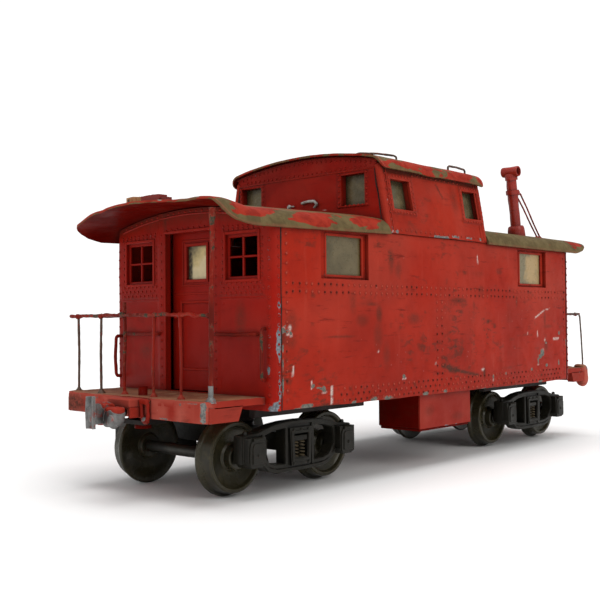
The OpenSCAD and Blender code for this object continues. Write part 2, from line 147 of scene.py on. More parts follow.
def cad(name, mat, bevel=0.0, seg=2, angle=40):
    """Shows a CAD node with a material, soft edges and nothing else changed."""
    o = NODES[name]
    o.data.materials.clear()
    o.data.materials.append(mat)
    if bevel:
        w = o.modifiers.new("weld", "WELD")
        w.merge_threshold = 0.000002
        b = o.modifiers.new("bevel", "BEVEL")
        b.width = bevel * 0.001
        b.segments = seg
        b.limit_method = "ANGLE"
        b.angle_limit = math.radians(angle)
        b.use_clamp_overlap = True
    return o


def box(g, x0, x1, y0, y1, z0, z1, c=0.12, m=0, warp=None, **a):
    lo = np.array([min(x0, x1), min(y0, y1), min(z0, z1)], float)
    hi = np.array([max(x0, x1), max(y0, y1), max(z0, z1)], float)
    c = min(c, 0.45 * (hi - lo).min())
    idx, V = {}, []
    for sx in (0, 1):
        for sy in (0, 1):
            for sz in (0, 1):
                for ax in range(3):
                    s = (sx, sy, sz)
                    p = [
                        (hi[k] if s[k] else lo[k]) + (0 if k == ax else (-c if s[k] else c))
                        for k in range(3)
                    ]
                    idx[(s, ax)] = len(V)
                    V.append(p)
    F = []
    for ax in range(3):
        b, d = [k for k in range(3) if k != ax]
        for s in (0, 1):
            q = []
            for sb, sd in ((0, 0), (1, 0), (1, 1), (0, 1)):
                t = [0, 0, 0]
                t[ax], t[b], t[d] = s, sb, sd
                q.append(idx[(tuple(t), ax)])
            F.append(tuple(q))
    for ax in range(3):
        b, d = [k for k in range(3) if k != ax]
        for sb in (0, 1):
            for sd in (0, 1):
                t0, t1 = [0, 0, 0], [0, 0, 0]
                t0[ax], t0[b], t0[d] = 0, sb, sd
                t1[ax], t1[b], t1[d] = 1, sb, sd
                F.append((idx[(tuple(t0), b)], idx[(tuple(t1), b)], idx[(tuple(t1), d)], idx[(tuple(t0), d)]))
    for sx in (0, 1):
        for sy in (0, 1):
            for sz in (0, 1):
                s = (sx, sy, sz)
                F.append((idx[(s, 0)], idx[(s, 1)], idx[(s, 2)]))
    V = np.array(V)
    if warp is not None:
        V = warp(V)
    g.add(V, F, m, **a)


def tube(g, pts, r, seg=10, m=0, lump=0.0, cell=2.0, seed=1, step=None, **a):
    P = np.asarray(pts, float)
    R = np.full(len(P), r, float) if np.isscalar(r) else np.asarray(r, float)
    if step:
        L = np.r_[0, np.cumsum(np.linalg.norm(np.diff(P, axis=0), axis=1))]
        n = max(2, int(L[-1] / step) + 1)
        s = np.linspace(0, L[-1], n)
        R = np.interp(s, L, R)
        P = np.stack([np.interp(s, L, P[:, k]) for k in range(3)], 1)
    T = np.gradient(P, axis=0)
    T /= np.linalg.norm(T, axis=1)[:, None] + 1e-12
    up = np.array([0, 0, 1.0]) if abs(T[0][2]) < 0.9 else np.array([1.0, 0, 0])
    V = []
    ang = np.linspace(0, 2 * np.pi, seg, endpoint=False)
    nrm = np.cross(T[0], up)
    for k in range(len(P)):
        nrm = nrm - T[k] * np.dot(nrm, T[k])
        nrm /= np.linalg.norm(nrm)
        bi = np.cross(T[k], nrm)
        ring = np.cos(ang)[:, None] * nrm + np.sin(ang)[:, None] * bi
        rr = np.full(seg, R[k])
        if lump:
            rr = rr + lump * vnoise((P[k] + ring * R[k]) / cell, seed)
        V.append(P[k] + ring * rr[:, None])
    V = np.concatenate(V)
    F = []
    for k in range(len(P) - 1):
        for j in range(seg):
            jj = (j + 1) % seg
            F.append((k * seg + j, k * seg + jj, (k + 1) * seg + jj, (k + 1) * seg + j))
    F.append(tuple(range(seg))[::-1])
    F.append(tuple((len(P) - 1) * seg + j for j in range(seg)))
    g.add(V, F, m, **a)
    return V


def lathe(g, origin, axis, prof, seg=32, m=0, lump=0.0, cell=2.0, seed=1, **a):
    """prof is (radius, height) points; both ends close on the axis or the loop closes on itself."""
    axis = np.asarray(axis, float)
    axis /= np.linalg.norm(axis)
    ref = np.array([0, 0, 1.0]) if abs(axis[2]) < 0.9 else np.array([1.0, 0, 0])
    e1 = np.cross(axis, ref)
    e1 /= np.linalg.norm(e1)
    e2 = np.cross(axis, e1)
    ang = np.linspace(0, 2 * np.pi, seg, endpoint=False)
    V, rings = [], []
    o = np.asarray(origin, float)
    for r, h in prof:
        if r < 1e-6:
            rings.append([len(V)])
            V.append(o + axis * h)
        else:
            rings.append(list(range(len(V), len(V) + seg)))
            for t in ang:
                d = math.cos(t) * e1 + math.sin(t) * e2
                V.append(o + axis * h + d * r)
    V = np.array(V)
    if lump:
        c = V - o
        h = (c @ axis)[:, None] * axis
        rad = c - h
        ln = np.linalg.norm(rad, axis=1)[:, None] + 1e-9
        V = V + rad / ln * (lump * vnoise(V / cell, seed))[:, None] * (ln > 1e-3)
    F = []
    pairs = list(zip(rings[:-1], rings[1:]))
    if len(rings[0]) > 1 and len(rings[-1]) > 1:
        pairs.append((rings[-1], rings[0]))
    for A, B in pairs:
        for j in range(seg):
            jj = (j + 1) % seg
            if len(A) == 1 and len(B) == 1:
                continue
            if len(A) == 1:
                F.append((A[0], B[jj], B[j]))
            elif len(B) == 1:
                F.append((A[j], A[jj], B[0]))
            else:
                F.append((A[j], A[jj], B[jj], B[j]))
    g.add(V, F, m, **a)


def prism(g, poly, place, w0, w1, m=0, **a):
    n = len(poly)
    V = [place(u, v, w0) for u, v in poly] + [place(u, v, w1) for u, v in poly]
    F = [tuple(range(n))[::-1], tuple(range(n, 2 * n))]
    F += [(j, (j + 1) % n, n + (j + 1) % n, n + j) for j in range(n)]
    g.add(V, F, m, **a)


def rivets(g, P, N, r=0.38, h=0.2, m=0, seg=8, **a):
    """Low domes with a closed foot sunk into the sheet."""
    P = np.asarray(P, float).reshape(-1, 3)
    if not len(P):
        return
    N = np.asarray(N, float)
    if N.ndim == 1:
        N = np.tile(N, (len(P), 1))
    ang = np.linspace(0, 2 * np.pi, seg, endpoint=False)
    prof = [(1.0, -0.35), (0.97, 0.15), (0.66, 0.72)]
    for p, nn in zip(P, N):
        nn = nn / np.linalg.norm(nn)
        ref = np.array([0, 0, 1.0]) if abs(nn[2]) < 0.9 else np.array([1.0, 0, 0])
        e1 = np.cross(nn, ref)
        e1 /= np.linalg.norm(e1)
        e2 = np.cross(nn, e1)
        k = 0.88 + 0.24 * (0.5 + 0.5 * float(vnoise(p[None] * 1.7, 5)[0]))
        V = []
        for pr, ph in prof:
            for t in ang:
                V.append(p + (math.cos(t) * e1 + math.sin(t) * e2) * (r * k * pr) + nn * (h * k * ph))
        V.append(p + nn * h * k)
        V.append(p - nn * h * 0.35 * k)
        F = []
        for q in range(2):
            for j in range(seg):
                jj = (j + 1) % seg
                F.append((q * seg + j, q * seg + jj, (q + 1) * seg + jj, (q + 1) * seg + j))
        top, bot = 3 * seg, 3 * seg + 1
        for j in range(seg):
            jj = (j + 1) % seg
            F.append((2 * seg + j, 2 * seg + jj, top))
            F.append((jj, j, bot))
        g.add(V, F, m, **a)


def panel(g, us, vs, place, w0, w1, hole=None, disp=None, paint=None, m=0, mback=None, mrim=None, paint_back=None):
    """A closed sheet on a dense grid: place(u, v, w) gives xyz arrays, disp moves the front."""
    nu, nv = len(us), len(vs)
    U, W = np.meshgrid(us, vs, indexing="ij")
    U, W = U.ravel(), W.ravel()
    d = disp(U, W) if disp is not None else np.zeros_like(U)
    front = place(U, W, w1 + d)
    back = place(U, W, np.full_like(U, w0) + (d if disp is not None else 0))
    cu = 0.5 * (us[:-1] + us[1:])
    cv = 0.5 * (vs[:-1] + vs[1:])
    CU, CV = np.meshgrid(cu, cv, indexing="ij")
    keep = np.ones((nu - 1, nv - 1), bool)
    if hole is not None:
        keep &= ~hole(CU, CV)
    idx = np.arange(nu * nv).reshape(nu, nv)
    a, b, c, e = idx[:-1, :-1], idx[1:, :-1], idx[1:, 1:], idx[:-1, 1:]
    q = np.stack([a, b, c, e], -1)[keep]
    off = nu * nv
    F = [tuple(x) for x in q.tolist()]
    nf = len(F)
    F += [tuple(x) for x in (q[:, ::-1] + off).tolist()]
    nb = len(F)

    def rim(i0, i1):
        F.append((i1, i0, i0 + off, i1 + off))

    kp = np.zeros((nu + 1, nv + 1), bool)
    kp[1:nu, 1:nv] = keep
    for i in range(nu - 1):
        col = kp[i + 1]
        ch = np.nonzero(col[1:] != col[:-1])[0]
        for j in ch:
            if j <= nv - 1:
                rim(int(idx[i, j]), int(idx[i + 1, j]))
    for j in range(nv - 1):
        row = kp[:, j + 1]
        ch = np.nonzero(row[1:] != row[:-1])[0]
        for i in ch:
            if i <= nu - 1:
                rim(int(idx[i, j]), int(idx[i, j + 1]))
    used = np.zeros(2 * off, bool)
    used[np.unique(np.array(q)).ravel()] = True
    used[np.unique(np.array(q)).ravel() + off] = True
    new = np.cumsum(used) - 1
    V = np.concatenate([front, back])[used]
    F = [tuple(int(new[i]) for i in f) for f in F]
    att = {}
    if paint is not None:
        back_paint = paint_back(U, W) if paint_back is not None else {}
        for k, x in paint(U, W).items():
            att[k] = np.concatenate([x, back_paint.get(k, np.zeros_like(x))])[used]
    mb = m if mback is None else mback
    base = g.n
    g.add(V, F, m, **att)
    for k in range(nf, nb):
        g.M[len(g.M) - len(F) + k] = mb
    if mrim is not None:
        for k in range(nb, len(F)):
            g.M[len(g.M) - len(F) + k] = mrim


def spots(U, V, items):
    """Soft blobs: (u, v, radius u, radius v, strength), or (u0, v0, u1, v1, width, strength, 'l') for lines."""
    out = np.zeros_like(U)
    for it in items:
        if it[-1] == "l":
            u0, v0, u1, v1, w, s, _ = it
            du, dv = u1 - u0, v1 - v0
            t = np.clip(((U - u0) * du + (V - v0) * dv) / (du * du + dv * dv + 1e-9), 0, 1)
            d = np.hypot(U - u0 - t * du, V - v0 - t * dv) / w
        else:
            u0, v0, ru, rv, s = it
            d = np.hypot((U - u0) / ru, (V - v0) / rv)
        out = np.maximum(out, s * np.clip(1.25 - 0.5 * d ** 1.3, 0, 1))
    return out


def near(U, V, pts, r):
    """1 at the given points, falling to 0 at distance r."""
    out = np.zeros_like(U)
    pts = np.asarray(pts, float)
    if not len(pts):
        return out
    for k in range(0, len(pts)):
        s = (np.abs(U - pts[k, 0]) < r) & (np.abs(V - pts[k, 1]) < r)
        if s.any():
            d = np.hypot(U[s] - pts[k, 0], V[s] - pts[k, 1]) / r
            out[s] = np.maximum(out[s], np.clip(1 - d, 0, 1))
    return out

# ------------------------------------------------------------------ materials
class T:
    def __init__(self, name):
        self.mat = bpy.data.materials.new(name)
        self.mat.use_nodes = True
        self.t = self.mat.node_tree
        self.t.nodes.clear()
        self.out = self.t.nodes.new("ShaderNodeOutputMaterial")
        self.b = self.t.nodes.new("ShaderNodeBsdfPrincipled")
        self.t.links.new(self.b.outputs[0], self.out.inputs[0])
        self.co = self.t.nodes.new("ShaderNodeTexCoord").outputs["Object"]

    def put(self, sock, v):
        if isinstance(v, bpy.types.NodeSocket):
            self.t.links.new(v, sock)
        elif v is not None:
            sock.default_value = v

    def set(self, **k):
        for name, v in k.items():
            self.put(self.b.inputs[name.replace("_", " ")], v)

    def math(self, op, a, b=None, c=None, clamp=False):
        n = self.t.nodes.new("ShaderNodeMath")
        n.operation = op
        n.use_clamp = clamp
        for i, v in enumerate((a, b, c)):
            self.put(n.inputs[i], v)
        return n.outputs[0]

    def mul(self, a, b):
        return self.math("MULTIPLY", a, b)

    def addm(self, a, b, clamp=False):
        return self.math("ADD", a, b, clamp=clamp)

    def ss(self, v, lo, hi, a=0.0, b=1.0):
        n = self.t.nodes.new("ShaderNodeMapRange")
        n.interpolation_type = "SMOOTHSTEP"
        self.put(n.inputs["Value"], v)
        n.inputs["From Min"].default_value = lo
        n.inputs["From Max"].default_value = hi
        n.inputs["To Min"].default_value = a
        n.inputs["To Max"].default_value = b
        return n.outputs[0]

    def mapping(self, loc=(0, 0, 0), scale=(1, 1, 1), rot=(0, 0, 0)):
        n = self.t.nodes.new("ShaderNodeMapping")
        self.put(n.inputs["Vector"], self.co)
        n.inputs["Location"].default_value = loc
        n.inputs["Scale"].default_value = scale
        n.inputs["Rotation"].default_value = rot
        return n.outputs[0]

    def noise(self, scale, detail=3, rough=0.55, vec=None, dist=0.0):
        n = self.t.nodes.new("ShaderNodeTexNoise")
        self.put(n.inputs["Vector"], vec if vec is not None else self.co)
        n.inputs["Scale"].default_value = scale
        n.inputs["Detail"].default_value = detail
        n.inputs["Roughness"].default_value = rough
        n.inputs["Distortion"].default_value = dist
        return n.outputs["Fac"]

    def vor(self, scale, vec=None, feature="F1"):
        n = self.t.nodes.new("ShaderNodeTexVoronoi")
        n.feature = feature
        self.put(n.inputs["Vector"], vec if vec is not None else self.co)
        n.inputs["Scale"].default_value = scale
        return n.outputs["Distance"]

    def mix(self, f, a, b, mode="MIX"):
        n = self.t.nodes.new("ShaderNodeMix")
        n.data_type = "RGBA"
        n.blend_type = mode
        n.clamp_factor = True
        self.put(n.inputs[0], f)
        self.put(n.inputs[6], (*a, 1) if isinstance(a, tuple) else a)
        self.put(n.inputs[7], (*b, 1) if isinstance(b, tuple) else b)
        return n.outputs[2]

    def attr(self, name):
        n = self.t.nodes.new("ShaderNodeAttribute")
        n.attribute_name = name
        return n.outputs["Fac"]

    def ao(self, dist, samples=6, inside=False):
        n = self.t.nodes.new("ShaderNodeAmbientOcclusion")
        n.inputs["Distance"].default_value = dist
        n.samples = samples
        n.inside = inside
        n.only_local = False
        return n.outputs["AO"]

    def edge(self, radius=0.0003, samples=4):
        b = self.t.nodes.new("ShaderNodeBevel")
        b.samples = samples
        b.inputs["Radius"].default_value = radius
        g = self.t.nodes.new("ShaderNodeNewGeometry")
        d = self.t.nodes.new("ShaderNodeVectorMath")
        d.operation = "DOT_PRODUCT"
        self.t.links.new(b.outputs[0], d.inputs[0])
        self.t.links.new(g.outputs["Normal"], d.inputs[1])
        return self.math("SUBTRACT", 1.0, d.outputs["Value"], clamp=True)

    def bump(self, h, strength=0.3, dist=0.0002, prev=None):
        n = self.t.nodes.new("ShaderNodeBump")
        n.inputs["Strength"].default_value = strength
        n.inputs["Distance"].default_value = dist
        self.put(n.inputs["Height"], h)
        if prev is not None:
            self.put(n.inputs["Normal"], prev)
        return n.outputs[0]

    def sep(self, vec=None):
        n = self.t.nodes.new("ShaderNodeSeparateXYZ")
        self.put(n.inputs[0], vec if vec is not None else self.co)
        return n.outputs


def red_paint(
    name,
    base=(0.36, 0.034, 0.022),
    dark=(0.2, 0.016, 0.011),
    pale=(0.46, 0.085, 0.06),
    metal=(0.25, 0.28, 0.32),
    rough=0.42,
    edge=0.35,
    mottled=0.5,
    soot=0.35,
    speck=0.5,
    bare=0.0,
    off=(0.0, 0.0, 0.0),
    gritty=0.25,
    aod=0.0022,
    ao_amt=0.6,
    spec=0.07,
):
    """Hand-brushed red over sheet metal: mottled, painted shade in the corners and round the rivets, rubbed and chipped
    through in places.
    """
    t = T(name)
    p0 = t.mapping(loc=off)
    big = t.noise(48, 3, 0.6, p0, 0.4)
    mid = t.noise(230, 4, 0.62, p0, 0.3)
    fine = t.noise(1500, 4, 0.7, p0)
    streak = t.noise(330, 4, 0.65, t.mapping(loc=off, scale=(1, 1, 0.13)))
    brush = t.noise(900, 3, 0.6, t.mapping(loc=off, scale=(0.16, 0.16, 1)))
    c = t.mix(t.ss(big, 0.35, 0.68, 0.0, mottled), base, dark)
    c = t.mix(t.ss(mid, 0.46, 0.72, 0.0, 0.55 * mottled), c, dark)
    c = t.mix(t.ss(streak, 0.55, 0.8, 0.0, 0.22), c, pale)
    c = t.mix(t.ss(fine, 0.58, 0.8, 0.0, 0.3), c, dark)
    c = t.mix(t.attr("tint"), c, pale)
    hs = t.noise(760, 4, 0.7, t.mapping(loc=off, scale=(0.13, 0.13, 1)))
    c = t.mix(t.ss(hs, 0.56, 0.74, 0.0, soot), c, tuple(x * 0.42 for x in dark))
    # smoky scuffs, plus the per-point dark mask: real scuffs and smudges, and painted shade where a mesh puts it (under
    # eaves, at door jambs, in recesses)
    sc = t.mul(t.ss(t.noise(34, 5, 0.75, t.mapping(loc=(off[0] + 0.31, off[1], off[2] + 0.12))), 0.52, 0.62), t.ss(t.noise(620, 4, 0.7, t.mapping(loc=off, scale=(0.4, 0.4, 1)), 0.4), 0.47, 0.58))
    sc = t.addm(t.mul(sc, soot), t.mul(t.attr("dark"), t.ss(fine, 0.25, 0.6, 0.35, 1.0)), True)
    c = t.mix(sc, c, (0.075, 0.02, 0.011))
    # painted shade: darker in corners and crevices found by ambient occlusion, and where the per-point mask paints
    # shadow round and below rivets and dirt in seams
    ao = t.ao(aod)
    dirt_shade = t.addm(t.ss(ao, 0.35, 0.92, ao_amt, 0.0), t.mul(t.attr("grime"), t.ss(fine, 0.3, 0.62, 0.4, 1.0)), True)
    c = t.mix(dirt_shade, c, (0.05, 0.009, 0.007))
    # pale scratches and dust specks
    pl = t.mul(t.attr("pale"), t.ss(fine, 0.3, 0.55))
    sp = t.mul(t.ss(t.vor(420, p0), 0.13, 0.05), t.ss(big, 0.5, 0.62, 0.0, speck))
    c = t.mix(t.addm(pl, sp, True), c, (0.6, 0.52, 0.47))
    # bare metal
    e = t.edge(0.00028)
    em = t.mul(t.ss(e, 0.015, 0.12), t.ss(t.addm(mid, t.mul(fine, 0.5)), 0.66, 0.92))
    raw = t.addm(t.attr("chip"), t.addm(t.mul(t.math("SUBTRACT", fine, 0.5), 0.9), t.mul(t.math("SUBTRACT", t.noise(620, 3, 0.6, p0), 0.5), 1.1)))
    raw = t.addm(raw, t.mul(em, edge))
    if bare:
        raw = t.addm(raw, t.ss(t.addm(mid, t.mul(fine, 0.35)), 0.78 - 0.2 * bare, 0.95, 0.0, 0.9))
    ch = t.ss(raw, 0.5, 0.6)
    rim = t.math("SUBTRACT", t.ss(raw, 0.33, 0.5, 0.0, 0.55), ch, clamp=True)
    c = t.mix(rim, c, pale)
    c = t.mix(ch, c, t.mix(t.ss(fine, 0.35, 0.65), metal, tuple(x * 0.45 for x in metal)))
    t.set(Base_Color=c)
    t.set(Roughness=t.addm(t.ss(mid, 0.3, 0.7, rough - 0.07, rough + 0.13), t.mul(dirt_shade, 0.2)))
    t.set(Metallic=t.mul(ch, 0.55))
    h = t.addm(t.mul(fine, gritty), t.addm(t.mul(mid, 0.35), t.mul(brush, 0.25)))
    h = t.addm(h, t.mul(ch, -0.5))
    t.b.inputs["Specular IOR Level"].default_value = spec
    t.set(Normal=t.bump(h, 0.35, 0.00022))
    return t.mat


def plain(
    name, a, b, c2=None, rough=0.5, metal=0.0, s1=120, s2=700, dust=None, dust_amt=0.0, bump=0.25,
    edge=0.0, edge_col=(0.4, 0.4, 0.4), aod=0.003, ao_amt=0.5, ao_col=(0.012, 0.01, 0.009), spec=0.5, dist=0.0002, stretch=(1, 1, 1),
):
    """Two-tone surface with fine grain, painted shade in the corners, rubbed edges and settled dust."""
    t = T(name)
    p = t.mapping(scale=stretch)
    n1, nf = t.noise(s1, 4, 0.6, p, 0.3), t.noise(s2, 4, 0.68, p)
    c = t.mix(t.ss(n1, 0.35, 0.68), a, b)
    if c2:
        c = t.mix(t.ss(t.noise(s1 * 2.3, 5, 0.7, p), 0.52, 0.68, 0.0, 0.85), c, c2)
    c = t.mix(t.ss(nf, 0.5, 0.75, 0.0, 0.35), c, tuple(x * 0.55 for x in b))
    if dust:
        g = t.t.nodes.new("ShaderNodeNewGeometry")
        up = t.sep(g.outputs["Normal"])[2]
        d = t.mul(t.ss(up, -0.1, 0.9, 0.12, 1.0), t.ss(t.addm(t.mul(n1, 0.6), t.mul(nf, 0.6)), 0.45, 0.78, 0.0, dust_amt))
        c = t.mix(d, c, dust)
    # painted shade in corners and crevices (ambient occlusion)
    c = t.mix(t.ss(t.ao(aod), 0.3, 0.9, ao_amt, 0.0), c, ao_col)
    if edge:
        e = t.mul(t.ss(t.edge(0.00035), 0.01, 0.12), t.ss(t.addm(t.mul(n1, 0.5), t.mul(nf, 0.5)), 0.42, 0.6, 0.0, edge))
        c = t.mix(e, c, edge_col)
    # per-point dark mask: real blotches, and painted shade on the deck by the end wall
    c = t.mix(t.mul(t.attr("dark"), t.ss(nf, 0.3, 0.6, 0.4, 1.0)), c, (0.02, 0.014, 0.012))
    t.set(Base_Color=c)
    t.set(Roughness=t.ss(n1, 0.3, 0.7, max(0.05, rough - 0.1), rough + 0.12))
    t.b.inputs["Metallic"].default_value = metal
    t.b.inputs["Specular IOR Level"].default_value = spec
    t.set(Normal=t.bump(t.addm(t.mul(nf, 0.6), n1), bump, dist))
    return t.mat


def roof_paint(name, off=(0, 0, 0), red_bias=0.0):
    """Worn olive-brown roof with sharp-edged patches of red left on it, and painted highlight in pink along the edges.
    """
    t = T(name)
    p0 = t.mapping(loc=off)
    mid = t.noise(260, 4, 0.65, p0, 0.3)
    fine = t.noise(1500, 4, 0.7, p0)
    pat = t.noise(190, 3, 0.55, t.mapping(loc=(off[0] + 0.2, off[1], off[2]), scale=(0.42, 1, 1)), 0.5)
    c = t.mix(t.ss(mid, 0.35, 0.66), (0.13, 0.095, 0.04), (0.085, 0.06, 0.026))
    c = t.mix(t.ss(fine, 0.52, 0.78, 0.0, 0.4), c, (0.17, 0.125, 0.06))
    rr = t.addm(t.addm(pat, t.mul(t.attr("tint"), 0.6)), t.mul(t.math("SUBTRACT", fine, 0.5), 0.12))
    rm = t.ss(rr, 0.585 - red_bias, 0.605 - red_bias)
    red = t.mix(t.ss(mid, 0.4, 0.66), (0.30, 0.024, 0.011), (0.2, 0.014, 0.007))
    c = t.mix(rm, c, red)
    # painted highlight: pink where the per-point pale mask is set, along edges and shoulders
    pk = t.mul(t.attr("pale"), t.ss(t.addm(t.mul(mid, 0.6), t.mul(fine, 0.5)), 0.44, 0.6, 0.15, 1.0))
    c = t.mix(pk, c, (0.40, 0.085, 0.058))
    dk = t.mul(t.attr("dark"), t.ss(fine, 0.3, 0.6, 0.4, 1.0))
    c = t.mix(dk, c, (0.04, 0.012, 0.009))
    c = t.mix(t.ss(t.attr("chip"), 0.4, 0.6), c, (0.30, 0.29, 0.25))
    # painted shade in corners (ambient occlusion)
    c = t.mix(t.ss(t.ao(0.0022), 0.3, 0.9, 0.5, 0.0), c, (0.03, 0.012, 0.009))
    t.set(Base_Color=c)
    t.b.inputs["Specular IOR Level"].default_value = 0.07
    t.set(Roughness=t.ss(mid, 0.3, 0.7, 0.5, 0.72))
    t.set(Normal=t.bump(t.addm(t.addm(t.mul(fine, 0.5), mid), t.mul(rm, 0.35)), 0.4, 0.00025))
    return t.mat


def pane(name, a, b, edge_c, rough=0.32, sc=150, far=False):
    """Old cloudy celluloid."""
    t = T(name)
    n1, nf = t.noise(sc, 4, 0.6, dist=0.5), t.noise(900, 3, 0.6)
    c = t.mix(t.ss(n1, 0.34, 0.66), a, b)
    c = t.mix(t.ss(nf, 0.5, 0.75, 0.0, 0.25), c, edge_c)
    # painted shade in the corners of each light (ambient occlusion)
    c = t.mix(t.ss(t.ao(0.0026), 0.45, 0.95, 0.85, 0.0), c, edge_c)
    # painted light: lights towards the far end of the car are made brighter, most of all past the middle of the far
    # light
    if far:
        x = t.sep()[0]
        k = t.addm(x, t.mul(t.math("SUBTRACT", n1, 0.5), 0.012))
        c = t.mix(t.ss(k, 0.0, 0.02, 0.0, 0.75), c, (0.22, 0.19, 0.11))
        c = t.mix(t.mul(t.ss(k, 0.045, 0.0485, 0.0, 1.0), t.ss(n1, 0.3, 0.55, 0.35, 1.0)), c, (0.41, 0.285, 0.135))
    # painted light: the per-point tint lightens the lit lower part of the door light
    c = t.mix(t.attr("tint"), c, (0.80, 0.68, 0.42))
    # painted shadow from the per-point dark mask
    c = t.mix(t.mul(t.attr("dark"), t.ss(nf, 0.25, 0.6, 0.55, 1.0)), c, (0.02, 0.015, 0.012))
    t.b.inputs["Specular IOR Level"].default_value = 0.35
    t.set(Base_Color=c)
    t.set(Roughness=t.ss(nf, 0.3, 0.7, rough - 0.08, rough + 0.1))
    t.set(Normal=t.bump(t.addm(n1, t.mul(nf, 0.3)), 0.2, 0.00025))
    return t.mat


RED = red_paint("red_side", base=(0.335, 0.016, 0.005), dark=(0.19, 0.009, 0.004), pale=(0.42, 0.07, 0.043), metal=(0.2, 0.195, 0.165), speck=0.1, soot=0.7, mottled=0.55)
RED_END = red_paint("red_end", base=(0.30, 0.007, 0.002), dark=(0.16, 0.004, 0.002), pale=(0.40, 0.035, 0.018), metal=(0.24, 0.26, 0.29), mottled=0.5, rough=0.34, off=(0.4, 0.2, 0.1), soot=0.15, speck=0.0, spec=0.09)
RED_CUP = red_paint("red_cupola", base=(0.33, 0.02, 0.007), dark=(0.19, 0.01, 0.005), pale=(0.42, 0.07, 0.045), metal=(0.3, 0.3, 0.29), off=(0.11, 0.7, 0.3), soot=0.35, speck=0.0)
RED_CUPE = red_paint("red_cupola_end", base=(0.28, 0.007, 0.002), dark=(0.13, 0.007, 0.004), pale=(0.38, 0.05, 0.03), off=(0.31, 0.2, 0.6), soot=0.2, speck=0.0)
RED_DARK = red_paint("red_dark", base=(0.13, 0.003, 0.001), dark=(0.05, 0.003, 0.002), pale=(0.24, 0.025, 0.015), off=(0.9, 0.1, 0.2), soot=0.2, speck=0.0, spec=0.012)
RED_WIRE = red_paint("red_wire", base=(0.25, 0.014, 0.007), dark=(0.08, 0.007, 0.004), pale=(0.36, 0.07, 0.045), metal=(0.085, 0.078, 0.05), mottled=0.9, edge=0.0, bare=0.8, off=(0.2, 0.33, 0.5), rough=0.4, ao_amt=0.3, speck=0.0)
RED_BOX = red_paint("red_toolbox", base=(0.32, 0.024, 0.013), dark=(0.2, 0.014, 0.009), pale=(0.4, 0.07, 0.045), off=(0.6, 0.6, 0.1), soot=0.15, edge=0.2, speck=0.05)
RED_PLAT = red_paint("red_platform", base=(0.31, 0.024, 0.013), dark=(0.19, 0.017, 0.011), pale=(0.42, 0.10, 0.07), metal=(0.24, 0.235, 0.22), bare=0.12, edge=0.55, off=(0.5, 0.5, 0.5), rough=0.6, speck=0.1)
RED_STACK = red_paint("red_stack", base=(0.31, 0.02, 0.009), dark=(0.13, 0.009, 0.006), pale=(0.42, 0.07, 0.045), off=(0.1, 0.9, 0.4), gritty=0.6, edge=0.3, rough=0.34, soot=0.55, speck=0.0, spec=0.35)
ROOF = roof_paint("roof_olive", red_bias=-0.005)
ROOF_B = roof_paint("roof_olive_b", off=(0.5, 0.1, 0.6), red_bias=-0.075)
ROOF_C = roof_paint("roof_olive_cupola", off=(0.23, 0.4, 0.1), red_bias=0.045)
DECK = plain("deck_dust", (0.27, 0.115, 0.06), (0.18, 0.055, 0.03), (0.31, 0.18, 0.10), rough=0.75, s1=150, s2=1100, bump=0.4, ao_amt=0.6, ao_col=(0.04, 0.012, 0.008), spec=0.15)
WOOD = plain("bare_wood", (0.47, 0.25, 0.11), (0.33, 0.15, 0.06), (0.28, 0.03, 0.015), rough=0.7, s1=200, s2=1400, bump=0.4, stretch=(0.2, 1, 1), spec=0.15)
FLOORW = plain("floor_inside", (0.06, 0.012, 0.008), (0.03, 0.007, 0.005), rough=0.7, s1=140, s2=900, spec=0.1)
BLACK = plain("underframe_black", (0.018, 0.011, 0.009), (0.01, 0.008, 0.007), (0.04, 0.008, 0.005), rough=0.6, dust=(0.08, 0.06, 0.045), dust_amt=0.3, spec=0.2)
CAST = plain("cast_black", (0.012, 0.0108, 0.0075), (0.007, 0.0063, 0.0045), rough=0.4, s1=180, s2=1300, dust=(0.05, 0.044, 0.03), dust_amt=0.4, bump=0.5, edge=0.4, edge_col=(0.055, 0.05, 0.04), ao_amt=0.75, ao_col=(0.003, 0.003, 0.003), spec=0.16)
BRASS = plain("spring_brass", (0.06, 0.042, 0.015), (0.028, 0.02, 0.009), rough=0.4, s1=300, s2=1500, metal=0.4, spec=0.4)
WHEEL = plain("wheel_iron", (0.033, 0.028, 0.013), (0.015, 0.0135, 0.007), (0.05, 0.041, 0.018), rough=0.3, s1=150, s2=1100, dust=(0.075, 0.065, 0.042), dust_amt=0.3, edge=0.6, edge_col=(0.15, 0.125, 0.055), bump=0.25, ao_amt=0.6, ao_col=(0.004, 0.004, 0.003), spec=0.35, metal=0.15)
AXLE = plain("axle_steel", (0.03, 0.028, 0.02), (0.015, 0.014, 0.011), rough=0.4, metal=0.3, s1=300, s2=1400)
ZINC = plain("coupler_zinc", (0.19, 0.19, 0.185), (0.08, 0.08, 0.078), (0.25, 0.03, 0.018), rough=0.45, metal=0.35, s1=260, s2=1300, edge=0.7, edge_col=(0.42, 0.42, 0.41), bump=0.6, ao_amt=0.85, ao_col=(0.006, 0.005, 0.005), spec=0.3)
ZINC_RED = red_paint("coupler_red", base=(0.3, 0.028, 0.016), dark=(0.12, 0.01, 0.007), metal=(0.22, 0.22, 0.21), bare=0.55, edge=1.0, off=(0.7, 0.2, 0.8), rough=0.5, speck=0.0)
SCREW = plain("screw_steel", (0.10, 0.06, 0.04), (0.05, 0.03, 0.02), (0.26, 0.025, 0.014), rough=0.45, metal=0.4, s1=300, s2=1500, edge=0.5, edge_col=(0.26, 0.24, 0.2))
PANE = pane("pane_cloudy", (0.138, 0.109, 0.056), (0.08, 0.065, 0.032), (0.10, 0.066, 0.02), far=True)
PANE_C = pane("pane_cupola", (0.165, 0.135, 0.07), (0.09, 0.075, 0.038), (0.03, 0.024, 0.012), rough=0.25)
